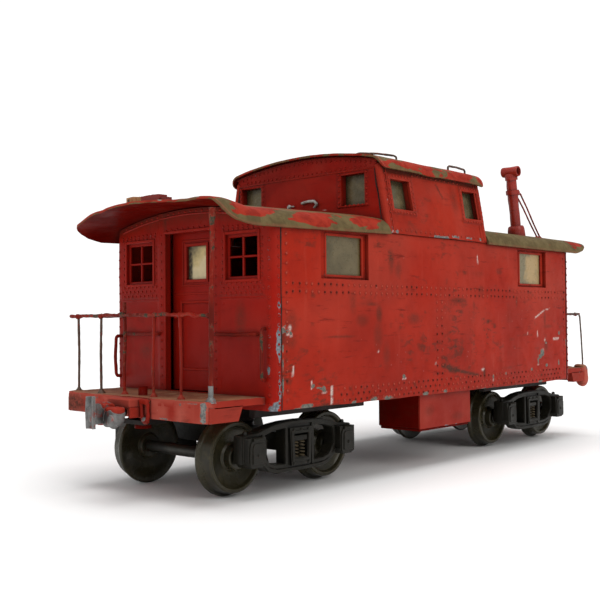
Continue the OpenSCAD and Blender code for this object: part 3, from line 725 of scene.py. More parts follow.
PANE_D = pane("pane_door", (0.68, 0.54, 0.25), (0.42, 0.35, 0.17), (0.14, 0.10, 0.05), rough=0.35)
WIRE_GREY = plain("hook_grey", (0.42, 0.42, 0.40), (0.2, 0.19, 0.18), (0.2, 0.03, 0.02), rough=0.45, metal=0.2, s1=300, s2=1400, spec=0.4)
WIRE_OLD = plain("railing_bare_wire", (0.10, 0.06, 0.04), (0.06, 0.035, 0.022), (0.22, 0.02, 0.012), rough=0.45, metal=0.2, s1=300, s2=1500, bump=0.5, ao_amt=0.3, spec=0.35)

# ------------------------------------------------------------------ shared shapes
class Arch:
    def __init__(s, R, zc, cy, cz, r, s_end):
        s.R, s.zc, s.cy, s.cz, s.r = R, zc, cy, cz, r
        s.th = math.asin(cy / (R - r))
        s.st = R * s.th
        s.S = s_end

    def at(s, q, off):
        a = np.abs(q)
        th1 = a / s.R
        th2 = s.th + (a - s.st) / s.r
        first = a < s.st
        y = np.where(first, (s.R + off) * np.sin(th1), s.cy + (s.r + off) * np.sin(th2))
        z = np.where(first, s.zc + (s.R + off) * np.cos(th1), s.cz + (s.r + off) * np.cos(th2))
        return np.sign(q) * y, z

    def z(s, y, off=0.0):
        y = np.abs(np.asarray(y, float))
        R, r = s.R + off, s.r + off
        yt = R * math.sin(s.th)
        za = s.zc + np.sqrt(np.maximum(R * R - y * y, 0))
        ze = s.cz + np.sqrt(np.maximum(r * r - (y - s.cy) ** 2, 0))
        return np.where(y < yt, za, ze)


MAIN = Arch(115.0, -44.4, 26.2, 62.228, 5.2, 33.85)
CUP = Arch(133.0, -45.0, 25.0, 81.56, 4.0, 31.0)


def grid(breaks, step):
    out = [float(breaks[0])]
    for a, b in zip(breaks[:-1], breaks[1:]):
        n = max(1, int(round((b - a) / step)))
        out += list(np.linspace(a, b, n + 1)[1:])
    return np.array(out)


def rot(g_add):
    """The same point list turned half a turn about Z."""
    P = np.asarray(g_add, float).copy()
    P[..., 0] *= -1
    P[..., 1] *= -1
    return P


# ------------------------------------------------------------------ sides
def belt(pitch, x0, x1, seed):
    n = int((x1 - x0) / pitch)
    xs = x0 + pitch * np.arange(n + 1)
    return xs + 0.12 * vnoise(np.stack([xs, xs * 0, xs * 0], 1), seed)


def side(sign, name, node, step, marks):
    g = Geo()
    wins = [(s * 46.9 - 9.2, s * 46.9 + 9.2) for s in (-1, 1)]
    us = grid([-70.02, wins[0][0], wins[0][1], wins[1][0], wins[1][1], 70.02], step)
    vs = grid([20.8, 51.7, 63.5, 64.4], step)
    riv = []
    for z, a, b in ((50.35, -66.0, 69.2), (48.45, -66.0, 69.2)):
        riv += [(x, z) for x in belt(2.25, a, b, 3)]
    for x in (-7.15, -4.75):
        riv += [(x, z) for z in np.arange(46.4, 25.5, -2.22)]
    for x in (-68.3, 68.3):
        riv += [(x, z) for z in np.arange(61.8, 21.8, -2.28)]
    for k, z in enumerate((24.7, 23.2, 21.7)):
        riv += [(x, z) for x in belt(2.25, -50.0 + (0.0 if k != 1 else 1.1), 66.5, 7 + k)]
    for x in (45.0,):
        riv += [(x, z) for z in (33.5, 31.2, 28.9, 26.6)] if sign > 0 else []
    riv = np.array(riv)
    riv[:, 0] += 0.1 * n2(riv[:, 0], riv[:, 1], 0.9, 31)
    riv[:, 1] += 0.1 * n2(riv[:, 0], riv[:, 1], 0.9, 37)

    def hole(U, V):
        h = np.zeros(U.shape, bool)
        for a, b in wins:
            h |= (U > a) & (U < b) & (V > 51.7) & (V < 63.5)
        return h

    def place(u, v, w):
        # the near lower corner and the bottom edge are a little wavy
        return np.stack([u, sign * (29.0 + w), v + 0.16 * n2(u, v * 0, 9.0, 5) * np.clip((24 - v) / 3.2, 0, 1)], 1)

    def disp(U, V):
        d = 0.10 * n2(U, V, 16, 11) + 0.045 * n2(U, V, 5, 12) + 0.02 * n2(U, V, 1.6, 13)
        d -= 0.10 * near(U, V, riv, 1.5) * (0.5 + 0.5 * n2(U, V, 4, 14))
        ed = np.minimum(np.minimum(np.abs(V - 20.8), 64.4 - V), np.minimum(U + 70.15, 70.15 - U))
        return d * np.clip(ed / 1.2, 0, 1) - 0.14 * np.clip(1 - ed / 0.5, 0, 1)

    def paint(U, V):
        jit = 0.22 * n2(U, V, 0.9, 51 + int(sign))
        chip = spots(U, V, marks["chip"]) + jit * 0.0
        edge = np.clip(1 - (V - 20.8) / 0.5, 0, 1) * np.clip((n2(U, V * 0, 3.4, 61 + int(sign)) - 0.35) * 3, 0, 1)
        chip = np.maximum(chip, 0.62 * edge)
        dark = spots(U, V, marks["dark"])
        pale = spots(U, V, marks["pale"])
        # painted shadow: a dark ring round each rivet and a dark spot just below it
        dirt_shade = 0.5 * near(U, V, riv, 0.62) + 0.35 * near(U, V, riv - np.array([0.1, 0.35]), 0.55)
        seam = np.maximum(np.clip(1 - (U + 70.15) / 0.5, 0, 1), np.clip(1 - (70.15 - U) / 0.5, 0, 1))
        dirt_shade = np.maximum(dirt_shade, seam * 0.8)
        # a rubbed band below the windows, dirt low down
        tint = np.clip(0.28 * n2(U, V, 13, 71) + 0.12, 0, 1) * np.clip((V - 30) / 20, 0.2, 1)
        # painted highlight: a pale spot up and to one side of each rivet
        tint = np.maximum(tint, 0.5 * near(U, V, riv + np.array([0.18, 0.12]), 0.5))
        dark = np.maximum(dark, 0.75 * np.clip(n2(U * 0.45, V, 2.4, 72) * 1.9 - 0.95, 0, 1) * np.clip(0.4 + n2(U, V, 17, 75), 0, 1))
        dark = np.maximum(dark, 0.75 * np.clip(n2(U * 0.5, V, 1.1, 73) * 2.2 - 1.25, 0, 1))
        olive = np.clip(1 - (V - 20.8) / 0.6, 0, 1) * np.clip(n2(U, V * 0, 4.6, 76 + int(sign)) * 3 - 0.2, 0, 1)
        dark = np.maximum(dark, 0.85 * olive)
        return {"chip": chip, "dark": dark, "pale": pale, "grime": np.clip(dirt_shade, 0, 1), "tint": tint}

    panel(g, us, vs, place, 0.0, 1.0, hole, disp, paint)
    keep = np.ones(len(riv), bool)
    if sign < 0:
        keep = ~((riv[:, 1] < 26) & (riv[:, 0] < -44) & (n2(riv[:, 0], riv[:, 1], 2.0, 41) > -0.1))
    P = np.stack([riv[:, 0], np.full(len(riv), sign * 29.98), riv[:, 1]], 1)[keep]
    P[:, 1] += sign * (disp(riv[keep, 0], riv[keep, 1]))
    # rivets picked by noise are drawn dark with a dark ring, as painted shadow of the heads; the rest are tinted paler
    # pink
    shadow_dots = n2(riv[keep, 0], riv[keep, 1], 5.0, 43) + 0.7 * n2(riv[keep, 0], riv[keep, 1], 0.8, 44) > 0.05
    rivets(g, P[shadow_dots], np.array([0, sign, 0.0]), 0.31, 0.27, dark=0.75, grime=0.6)
    rivets(g, P[~shadow_dots], np.array([0, sign, 0.0]), 0.31, 0.27, tint=0.75)
    # open black seams where the side meets the corner sheets
    for x in (-70.12, 70.12):
        z = np.arange(20.9, 64.2, 0.5)
        r = 0.15 + 0.09 * n2(z, z * 0, 2.1, 45 + int(sign))
        tube(g, np.stack([x + 0.05 * n2(z, z * 0, 3.0, 46), np.full(len(z), sign * 29.97), z], 1), r, 6, m=1)
    return make(name, g, [RED, BLACK], "car_body", [node])


# near-side marks: chips; dark smudges and scuffs, and dark spots on chips that paint shadow in the pits; pale scratches
NEAR_MARKS = {
    "chip": [
        (-69.6, 39.3, 0.5, 0.6, 1), (-68.2, 39.0, 0.5, 0.4, 1), (-67.0, 38.6, 0.4, 0.35, 1), (-68.9, 40.3, 0.3, 0.25, 0.9),
        (-66.5, 30.6, 0.22, 0.25, 0.9), (-66.7, 28.6, 0.22, 0.25, 0.9), (-59.4, 25.9, 0.5, 0.4, 0.85), (-55.6, 24.9, 0.6, 0.6, 1),
        (-58.0, 25.5, -56.2, 25.1, 0.2, 0.9, "l"), (-61.5, 21.2, 1.6, 0.42, 1), (-35.9, 21.2, 1.1, 0.4, 1), (-29.8, 21.3, 1.5, 0.42, 1),
        (-12.9, 21.2, 1.1, 0.36, 1), (-3.4, 21.3, 0.8, 0.35, 1), (51.9, 21.1, 1.2, 0.3, 1), (-23.0, 26.4, 0.5, 0.45, 1),
        (22.4, 24.3, 0.4, 0.55, 0.9), (46.0, 25.3, 0.5, 0.4, 0.85), (53.0, 30.4, 1.0, 0.9, 0.9), (51.4, 29.3, 0.9, 0.6, 0.9),
        (50.2, 27.8, 0.4, 0.8, 0.85), (55.6, 33.5, 0.5, 0.35, 0.9), (55.9, 26.2, 0.6, 0.4, 1), (64.3, 26.9, 0.4, 0.7, 0.9),
        (64.8, 36.6, 0.5, 0.6, 0.85), (69.5, 33.3, 0.3, 1.2, 0.8), (-8.1, 29.2, 0.22, 0.25, 0.9), (30.0, 24.8, 0.3, 0.4, 0.8),
        (-69.7, 35.1, 0.22, 0.8, 1), (-69.7, 31.5, 0.2, 1.4, 0.9), (-69.7, 26.5, 0.2, 2.0, 0.9), (-44.0, 21.0, 0.8, 0.3, 0.9),
    ],
    "dark": [
        (-18.1, 41.8, 1.7, 1.0, 0.6), (1.9, 34.0, 0.6, 0.5, 0.85), (-4.8, 28.6, 1.2, 27.1, 0.4, 1.0, "l"), (-1.0, 27.6, 1.6, 27.0, 0.7, 1.0, "l"),
        (1.2, 27.1, 13.8, 25.0, 0.34, 1.0, "l"), (-55.6, 24.9, 0.3, 0.3, 1), (-59.4, 25.9, 0.45, 0.4, 1), (-23.0, 26.6, 0.3, 0.35, 1),
        (-68.8, 38.5, 0.4, 0.4, 1), (-70.0, 37.6, 1.2, 1.6, 0.8), (-66.6, 41.0, 1.3, 1.6, 0.5), (-67.0, 36.6, 1.3, 1.0, 0.5),
        (17.2, 25.6, 0.5, 1.1, 0.95), (22.4, 24.0, 0.25, 0.5, 0.9), (55.6, 32.6, 0.9, 1.2, 0.6), (55.9, 26.0, 0.4, 0.3, 1), (64.4, 26.6, 0.3, 0.4, 1),
        (-33.5, 43.0, 0.8, 1.5, 0.8), (-36.5, 45.6, 1.6, 0.3, 0.7), (-44.0, 46.0, 1.0, 2.0, 0.45), (-40.5, 41.5, 1.6, 1.0, 0.5), (-34.0, 37.5, 1.2, 2.4, 0.5),
        (-49.0, 37.5, 3.6, 0.25, 0.7), (-30.5, 32.0, 1.0, 2.4, 0.4), (-28.0, 57.0, 0.9, 2.0, 0.6), (-25.0, 55.0, 1.0, 1.4, 0.5),
        (4.0, 47.0, 2.6, 0.5, 0.85), (7.0, 45.8, 1.2, 0.3, 0.6), (26.5, 56.0, 1.2, 0.6, 0.6), (55.0, 41.5, 0.5, 2.0, 0.55), (57.0, 39.0, 2.2, 0.4, 0.5),
        (-59.0, 47.5, 0.6, 0.4, 0.7), (-14.0, 36.5, 1.0, 0.3, 0.6), (12.0, 45.5, 0.4, 1.0, 0.5), (37.0, 47.0, 0.4, 1.2, 0.55), (-18.0, 24.0, 0.4, 0.5, 0.8),
    ],
    "pale": [
        (-52.6, 23.6, -52.5, 25.2, 0.3, 1, "l"), (-52.6, 21.2, -52.6, 22.6, 0.22, 1, "l"), (-69.4, 39.7, 0.35, 0.3, 1), (-67.8, 38.5, 0.4, 0.3, 1), (-67.3, 39.8, 0.35, 0.4, 1), (-66.9, 38.2, 0.25, 0.25, 1),
        (48.4, 41.8, 54.4, 44.2, 0.14, 1, "l"), (54.0, 44.2, 58.5, 44.9, 0.1, 0.7, "l"), (60.7, 34.8, 64.3, 34.9, 0.2, 1, "l"), (49.8, 37.3, 49.95, 36.0, 0.2, 0.9, "l"),
        (14.2, 60.3, 14.5, 58.2, 0.15, 1, "l"), (53.4, 31.4, 0.5, 0.2, 0.9), (54.8, 34.6, 0.3, 0.3, 0.9), (-55.3, 24.2, 0.5, 0.2, 1), (-60.0, 25.4, -59.8, 27.0, 0.16, 1, "l"),
        (-66.2, 30.9, -66.5, 28.6, 0.16, 1, "l"), (-23.4, 25.8, -22.4, 25.9, 0.2, 1, "l"), (16.4, 26.6, 0.5, 0.25, 1), (-8.1, 29.3, 0.2, 0.2, 1), (22.4, 23.2, 0.15, 0.4, 0.9),
        (-34.0, 33.4, 0.2, 0.2, 0.9), (43.5, 36.9, 0.2, 0.2, 0.9), (50.2, 26.8, 0.5, 0.15, 0.8),
    ],
}
_r = np.random.default_rng(12)
FAR_MARKS = {
    "chip": [(float(x), float(z), float(a), float(b), 0.9) for x, z, a, b in zip(_r.uniform(-68, 68, 15), 21 + 15 * _r.uniform(0, 1, 15) ** 2, _r.uniform(0.25, 0.7, 15), _r.uniform(0.25, 0.45, 15))]
    + [(-61.0, 21.1, 1.6, 0.4, 1), (-20.0, 21.1, 1.2, 0.35, 1), (18.0, 21.1, 1.5, 0.4, 1), (47.0, 21.1, 1.0, 0.35, 1), (69.6, 31.0, 0.22, 2.2, 0.9), (69.6, 40.0, 0.25, 0.9, 0.9)],
    "dark": [(float(x), float(z), float(a), float(b), 0.55) for x, z, a, b in zip(_r.uniform(-66, 66, 14), _r.uniform(24, 58, 14), _r.uniform(0.6, 2.2, 14), _r.uniform(0.3, 1.6, 14))]
    + [(-20.0, 31.0, -6.0, 28.0, 0.35, 0.9, "l")],
    "pale": [(float(x), float(z), 0.25, 0.25, 0.9) for x, z in zip(_r.uniform(-66, 66, 7), _r.uniform(22, 46, 7))] + [(30.0, 40.0, 35.0, 42.5, 0.13, 0.9, "l")],
}
side(-1, "side_sheet_left", "side_left", 0.42, NEAR_MARKS)
side(1, "side_sheet_right", "side_right", 0.6, FAR_MARKS)

# window frame plates behind the side sheets
g = Geo()
for sx in (-1, 1):
    for sy in (-1, 1):
        cx, lx = sx * 46.9, sx * 46.9 + 0.7
        y0, y1 = sy * 28.45, sy * 28.93
        x0, x1, z0, z1 = cx - 10, cx + 10, 51.1, 64.1
        a, b, c, d = lx - 6.8, lx + 6.8, 52.8, 62.4
        box(g, x0, a, y0, y1, z0, z1, 0.15)
        box(g, b, x1, y0, y1, z0, z1, 0.15)
        box(g, a - 0.1, b + 0.1, y0, y1, z0, c, 0.15)
        box(g, a - 0.1, b + 0.1, y0, y1, d, z1, 0.15)
        # a thin raised lip round the light
        o0, o1 = sy * 28.8, sy * 29.12
        for q in ((a - 0.7, a, c - 0.7, d + 0.7), (b, b + 0.7, c - 0.7, d + 0.7), (a - 0.1, b + 0.1, c - 0.7, c), (a - 0.1, b + 0.1, d, d + 0.7)):
            box(g, q[0], q[1], o0, o1, q[2], q[3], 0.12, tint=0.15)
make("window_plates", g, [RED], "car_body", ["side_window_frames"])

# ------------------------------------------------------------------ end walls
def end_wall(turn, name, node, trim):
    f = rot if turn else (lambda P: P)
    g = Geo()
    top = 70.2
    us = grid([-31.256, -27.8, -24.9, -13.9, -8.8, 8.8, 13.9, 24.9, 27.8, 31.256], 0.5)
    vs = grid([20.8, 24.0, 51.5, 62.3, 62.9, 64.05, top], 0.5)

    def place(u, v, w):
        a = np.abs(u)
        ph = np.clip((a - 27.8) / 2.2, 0, None)
        y = np.where(a < 27.8, a, 27.8 + (0.6 + w) * np.sin(ph))
        x = np.where(a < 27.8, -70.9 - w, -70.3 - (0.6 + w) * np.cos(ph))
        zt = MAIN.z(np.minimum(y, 30.0), -0.6) - 0.22
        z = np.where(v > 62.9, 62.9 + (v - 62.9) / (top - 62.9) * (zt - 62.9), v)
        return f(np.stack([x, np.sign(u) * y, z], 1))

    def hole(U, V):
        a = np.abs(U)
        return ((a < 8.8) & (V > 24) & (V < 64.05)) | ((a > 13.9) & (a < 24.9) & (V > 51.5) & (V < 62.3))

    riv = []
    ys = np.arange(10.3, 27.4, 2.12)
    for sy in (-1, 1):
        for z, o in ((50.65, 0.0), (49.45, 0.85), (48.25, 0.0)):
            riv += [(sy * (y + o), z) for y in np.arange(12.4, 26.6, 1.7)]
        riv += [(sy * y, 64.6) for y in np.arange(13.0, 26.6, 1.7)]
        riv += [(sy * 26.2, z) for z in np.arange(52.4, 62.5, 1.7)]
        riv += [(sy * 10.35, z) for z in np.arange(25.5, 64.0, 2.25)]
        riv += [(sy * 28.35, z) for z in np.arange(22.2, 62.5, 2.25)]
        riv += [(sy * 30.75, z) for z in np.arange(22.6, 62.5, 2.25)]
        riv += [(sy * (y + 0.85), 63.6) for y in np.arange(12.2, 26.2, 1.7)]
        riv += [(sy * 12.75, z) for z in np.arange(52.4, 62.5, 1.7)]
    riv += [(y, 65.1) for y in np.arange(-8.4, 8.5, 2.1)]
    riv = np.array(riv)

    def disp(U, V):
        d = 0.07 * n2(U, V, 9, 21 + turn) + 0.03 * n2(U, V, 3, 22) + 0.015 * n2(U, V, 1.2, 24)
        a = np.abs(U)
        ed = np.minimum(np.abs(a - 8.8), np.abs(V - 20.8))
        ed = np.minimum(ed, np.where((V > 50) & (V < 64), np.minimum(np.abs(a - 13.9), np.abs(a - 24.9)), 9))
        # strip beside the doorway and band under the windows stand a little proud
        d += 0.16 * ((a > 9.0) & (a < 11.6)) + 0.14 * ((V > 47.4) & (V < 51.3) & (a > 11.6) & (a < 27.8))
        return d * np.clip(ed / 0.6, 0.2, 1)

    def paint(U, V):
        a = np.abs(U)
        # painted shadow round and below each rivet
        dirt_shade = 0.6 * near(U, V, riv, 0.62) + 0.35 * near(U, V, riv - np.array([0.1, 0.3]), 0.6)
        corner = (a > 27.4) & (U < 0 if not turn else a > 0)
        blue = near(U, V, riv, 0.62) * corner * np.clip(0.75 + 0.9 * n2(U, V, 3.1, 26), 0, 1.1)
        chip = blue + spots(U, V, [(-30.6, 37.0, 0.5, 2.6, 0.9), (-30.9, 26.0, 0.22, 4.0, 0.9), (-30.0, 22.0, 0.6, 0.8, 1), (-28.2, 30.2, 0.4, 0.8, 0.8), (-29.4, 21.2, 1.2, 0.5, 1), (-30.9, 45, 0.2, 1.2, 0.8), (-30.9, 33.0, 0.25, 1.0, 0.9)])
        # painted shade: darker towards the top under the canopy, along both door jambs and along the bead under the
        # windows; plus two dark blotches
        dark = 0.7 * np.clip((V - 64.8) / 4.0, 0, 1) + 0.5 * np.clip(1 - np.abs(a - 8.8) / 0.6, 0, 1) + spots(U, V, [(-19, 42, 1.2, 2.6, 0.5), (17, 34, 2.0, 1.5, 0.4)])
        dark = np.maximum(dark, 0.6 * np.clip(1 - np.abs(V - 47.3) / 0.4, 0, 1) * (a > 11.6) * (a < 27.8))
        # painted highlight: a pale spot up and to one side of each rivet, over random paler tone
        tint = 0.4 * near(U, V, riv + np.array([0.15, 0.12]), 0.5) + np.clip(0.25 * n2(U, V, 8, 28), 0, 1)
        return {"chip": np.clip(chip, 0, 1.1), "dark": np.clip(dark, 0, 0.85), "grime": dirt_shade, "tint": np.clip(tint, 0, 1)}

    panel(g, us, vs, place, 0.0, 1.6, hole, disp, paint)
    u, v = riv[:, 0], riv[:, 1]
    P0 = place(u, v, np.full(len(u), 1.55) + disp(u, v))
    P1 = place(u, v, np.full(len(u), 2.55) + disp(u, v))
    rivets(g, P0, P1 - P0, 0.33, 0.3, tint=0.2)
    # mouldings: window frames, doorway, arched line, bead under the belt
    def bar(y0, y1, z0, z1, d=0.35, **k):
        lo, hi = f(np.array([[-72.35, y0, z0], [-72.5 - d, y1, z1]]))
        box(g, lo[0], hi[0], lo[1], hi[1], z0, z1, 0.14, **k)

    for sy in (-1, 1):
        a, b = sorted((sy * 13.9, sy * 24.9))
        for q in ((a - 0.75, a, 50.75, 63.05), (b, b + 0.75, 50.75, 63.05), (a - 0.1, b + 0.1, 50.75, 51.5), (a - 0.1, b + 0.1, 62.3, 63.05)):
            bar(*q, d=0.3, tint=0.15)
        bar(min(sy * 11.7, sy * 27.2), max(sy * 11.7, sy * 27.2), 47.0, 47.5, 0.18)
    bar(-9.3, 9.3, 64.0, 64.7, 0.3, tint=0.2)
    for sy in (-1, 1):
        bar(min(sy * 8.7, sy * 9.25), max(sy * 8.7, sy * 9.25), 24.2, 64.1, 0.25, tint=0.1)
    yy = np.linspace(-26.5, 26.5, 60)
    for dz, rr in ((-1.55, 0.2),):
        tube(g, f(np.stack([np.full(60, -72.52), yy, MAIN.z(yy, -0.6) + dz], 1)), rr, 6, tint=0.2)
    ar = np.stack([np.full(24, -72.5), np.linspace(-25, 25, 24), MAIN.z(np.linspace(-25, 25, 24), -0.6) - 0.85], 1)
    rivets(g, f(ar), f(np.array([[-1.0, 0, 0]]))[0], 0.34, 0.2, tint=0.1)
    make(name, g, [RED_END], "car_body", [node])

    # door trim: frames round the light and the sunk panel, knob, jamb lining
    d = Geo()

    def dbar(y0, y1, z0, z1, x=-69.45, dd=0.35, **k):
        q = f(np.array([[x + 0.1, y0, z0], [x - dd, y1, z1]]))
        box(d, q[0][0], q[1][0], q[0][1], q[1][1], z0, z1, 0.13, **k)

    for (ya, za, zb, wdt, dd) in ((3.7, 52.2, 60.6, 0.8, 0.42), (5.3, 50.9, 61.9, 0.45, 0.22), (5.8, 29.7, 46.2, 0.55, 0.25)):
        dbar(-ya - wdt, -ya, za - wdt, zb + wdt, dd=dd, tint=0.2)
        dbar(ya, ya + wdt, za - wdt, zb + wdt, dd=dd, tint=0.2)
        dbar(-ya - 0.1, ya + 0.1, za - wdt, za, dd=dd, tint=0.2)
        dbar(-ya - 0.1, ya + 0.1, zb, zb + wdt, dd=dd, tint=0.2)
    q = f(np.array([[-69.5, 6.9, 43.0], [-71.1, 6.9, 43.0]]))
    lathe(d, q[0], q[1] - q[0], [(0, 0), (0.35, 0), (0.3, 0.7), (0.72, 0.95), (0.78, 1.3), (0.5, 1.6), (0, 1.65)], 14)
    dbar(-8.3, 8.3, 48.3, 48.9, dd=0.18, tint=0.1)
    make(trim, d, [RED_END], "car_body", [])
    # the door's light, set just behind its frame, lit low down and shadowed at the top
    w = Geo()
    us, vs = grid([-4.3, 4.3], 0.35), grid([51.6, 61.2], 0.35)

    def wpl(u, v, ww):
        return f(np.stack([-68.75 - 0.3 * ww, u, v], 1))

    def wpa(U, V):
        k = (57.4 - V) / 1.8 + 0.8 * n2(U, V, 1.3, 33) + 0.35 * (-U - 0.5)
        lit = np.clip(k, 0, 1) * np.clip((2.6 - U) / 0.4, 0, 1)
        # painted shadow down one side of the light and across its top
        dk = np.clip((U - 1.9) / 0.5, 0, 1) * 0.97
        dk = np.maximum(dk, 0.62 * np.clip((V - 56.5) / 2.5, 0, 1) * np.clip(0.55 + U * 0.3, 0, 1))
        return {"tint": 0.8 * lit * (0.8 + 0.2 * n2(U, V, 0.9, 36)), "dark": dk}

    panel(w, us, vs, wpl, 0.0, 1.0, None, lambda U, V: 0.25 * n2(U, V, 2.6, 34) + 0.1 * n2(U, V, 1.1, 35), wpa)
    make(trim + "_pane", w, [PANE_D], "car_body", ["door_glazing"] if turn else [])
    # four-light sashes close behind the wall
    q = Geo()
    for sy in (-1, 1):
        c = sy * 19.4

        def sb(y0, y1, z0, z1, x0=-71.95, x1=-71.35, **k):
            P = f(np.array([[x0, y0, 0], [x1, y1, 0]], float))
            box(q, P[0][0], P[1][0], P[0][1], P[1][1], z0, z1, 0.12, **k)

        sb(c - 6.0, c - 4.75, 51.0, 62.8)
        sb(c + 4.75, c + 6.0, 51.0, 62.8)
        sb(c - 4.9, c + 4.9, 51.0, 52.2)
        sb(c - 4.9, c + 4.9, 61.5, 62.8)
        sb(c - 0.28, c + 0.28, 52.1, 61.6, x0=-72.0)
        sb(c - 4.8, c + 4.8, 56.6, 57.1, x0=-72.0)
    make(trim.replace("door_trim", "sash_frames"), q, [RED_END], "car_body", ["end_sashes_b" if turn else "end_sashes_a"])


end_wall(0, "end_wall_sheet_a", "end_wall_a", "door_trim_a")
end_wall(1, "end_wall_sheet_b", "end_wall_b", "door_trim_b")

# ------------------------------------------------------------------ main roofs
CORNER_S = [0.0, 0.35, 0.9, 1.7, 2.8, 4.3, 6.0, 8.0, 10.5, 40]
CORNER_X = [-79.5, -82.5, -85.4, -87.2, -88.4, -89.2, -89.6, -89.95, -90.25, -90.28]
FAR_S = [0.0, 0.35, 1.1, 2.6, 4.0, 6.3, 10.3, 14.8, 22, 40]
FAR_X = [-76.5, -78.3, -81.2, -83.9, -85.5, -86.7, -87.6, -88.6, -89.5, -90.28]


def main_roof(turn, name, node):
    g = Geo()
    x1 = -29.55 if not turn else -18.85
    us = np.concatenate([np.linspace(0, 0.12, 16)[:-1], np.linspace(0.12, 1, 88)])
    S = MAIN.S
    vs = np.concatenate([np.linspace(-S, -S + 7, 26)[:-1], np.linspace(-S + 7, S - 7, 84)[:-1], np.linspace(S - 7, S, 26)])

    def start(v):
        near_side = np.interp(S - np.abs(v), CORNER_S, CORNER_X)
        far_side = np.interp(S - np.abs(v), FAR_S, FAR_X)
        k = np.clip(0.5 + v / 8, 0, 1)
        return near_side * (1 - k) + far_side * k

    def xyz(u, v, w):
        x0 = start(v)
        x0 = x0 + np.clip(0.12 + 0.22 * n2(v, v * 0, 6.5, 81 + turn), 0, 1) * (np.abs(v) < S - 1)
        X = x0 + (x1 - x0) * u
        y, z = MAIN.at(v, w - 0.6)
        free = np.clip((-72.0 - X) / 14.0, 0, 1)
        d = free * (0.34 * n2(X, v, 9, 82 + turn) - 0.15) + free ** 2 * 0.22 * n2(X, v, 3.2, 83 + turn)
        d = d + 0.05 * n2(X, v, 5, 84) + 0.02 * n2(X, v, 1.5, 85)
        # the free edge sags a touch between its corners
        d = d - 0.25 * free ** 2 * np.exp(-((v + 8) / 5.0) ** 2)
        cap = np.where(np.abs(v) > 26, 0.0, 1.0)
        d = np.where(d > 0, d * 0.25 + 0 * cap, d)
        # the end lip: pressed down over the door, sprung up at the near corner
        yy = v * 0.97
        lip = np.interp(yy, [-33.5, -31.5, -29.5, -27, -24, -20, -12, 2, 18, 23, 30, 33], [0, 0.4, 1.0, 1.55, 1.1, 0.3, -0.35, -0.55, -0.3, -0.5, -0.25, 0]) if not turn else 0.0
        lift = np.interp(X, [-90, -78, -70, -30], [0, 0, 0.12, 1.05]) if not turn else 1.05
        th = np.where(np.abs(v) < MAIN.st, v / 115.0, np.sign(v) * (MAIN.th + (np.abs(v) - MAIN.st) / 5.2))
        fr = np.clip((-76.0 - X) / 11.0, 0, 1)
        return X, y + d * np.sin(th) * 0.6, z + d * np.cos(th) + lift + lip * fr * fr * (3 - 2 * fr)

    def place(u, v, w):
        X, y, z = xyz(u, v, w)
        P = np.stack([X, y, z], 1)
        return rot(P) if turn else P

    def paint(U, V):
        X, y, z = xyz(U, V, np.full_like(U, 0.6))
        a = np.abs(V)
        edge = np.clip(1 - (S - a) / 0.8, 0, 1)
        x0 = start(V)
        fe = np.clip(1 - (X - x0) / 0.9, 0, 1)
        tint = 0.14 * np.clip((-70 - X) / 4, 0, 1) * (V > -8) + 0.16 * n2(X, V, 8, 91 + turn)
        if not turn:
            tint = tint + 0.45 * np.clip(1.2 - (X - x0) / 2.2, 0, 1) * np.clip((V + 21) / 4, 0, 1)
        band = np.exp(-((a - 27.5) / 3.2) ** 2)
        tint = tint + (0.10 if not turn else 0.0) * band - 0.22 * np.clip(1 - (S - a) / 2.0, 0, 1)
        if not turn:
            tint = tint + 0.5 * np.exp(-(((X + 57) / 6.5) ** 2 + ((V + 29.6) / 2.6) ** 2)) + 0.3 * np.exp(-(((X + 36) / 4.0) ** 2 + ((V + 28.6) / 1.6) ** 2)) + 0.34 * np.exp(-(((X + 76) / 3.6) ** 2 + ((V + 27) / 1.4) ** 2))
        # painted highlight: pink along the eaves, the free end and the shoulders
        crest = np.exp(-((a - 24.0) / 1.6) ** 2) * 0.55 * (1 if not turn else 0.3)
        pale = np.maximum(np.maximum(edge * 0.35, fe * 0.6), crest) * np.clip(0.65 + 0.8 * n2(X, V, 3.5, 93), 0, 1)
        chip = fe * np.clip(n2(X, V, 2.2, 94) * 3 - 1.2, 0, 1)
        return {"tint": tint, "pale": pale, "chip": chip}

    def under(U, V):
        X, y, z = xyz(U, V, np.full_like(U, 0.0))
        dk = spots(X, y, [(-84.6, 24.2, -83.0, 20.0, 0.3, 1.0, "l"), (-84.8, 28.0, 0.9, 1.6, 0.8)])
        # painted shade: the underside darkens where the canopy meets the end wall
        dk = np.maximum(dk, 0.8 * np.clip((X + 74.5) / 2.0, 0, 1))
        return {"dark": dk, "tint": 0.3 * np.clip(n2(X, V, 6, 95), 0, 1), "pale": np.zeros_like(U)}

    panel(g, us, vs, place, 0.0, 0.6, None, None, paint, m=0, mback=1, paint_back=under)
    make(name, g, [ROOF_B if turn else ROOF, RED_DARK], "car_body", [node])


main_roof(0, "roof_sheet_a", "main_roof_a")
main_roof(1, "roof_sheet_b", "main_roof_b")

# ------------------------------------------------------------------ cupola
def cup_y(z):
    return 30.4 - 3.1 * (z - 64.5) / 17.9


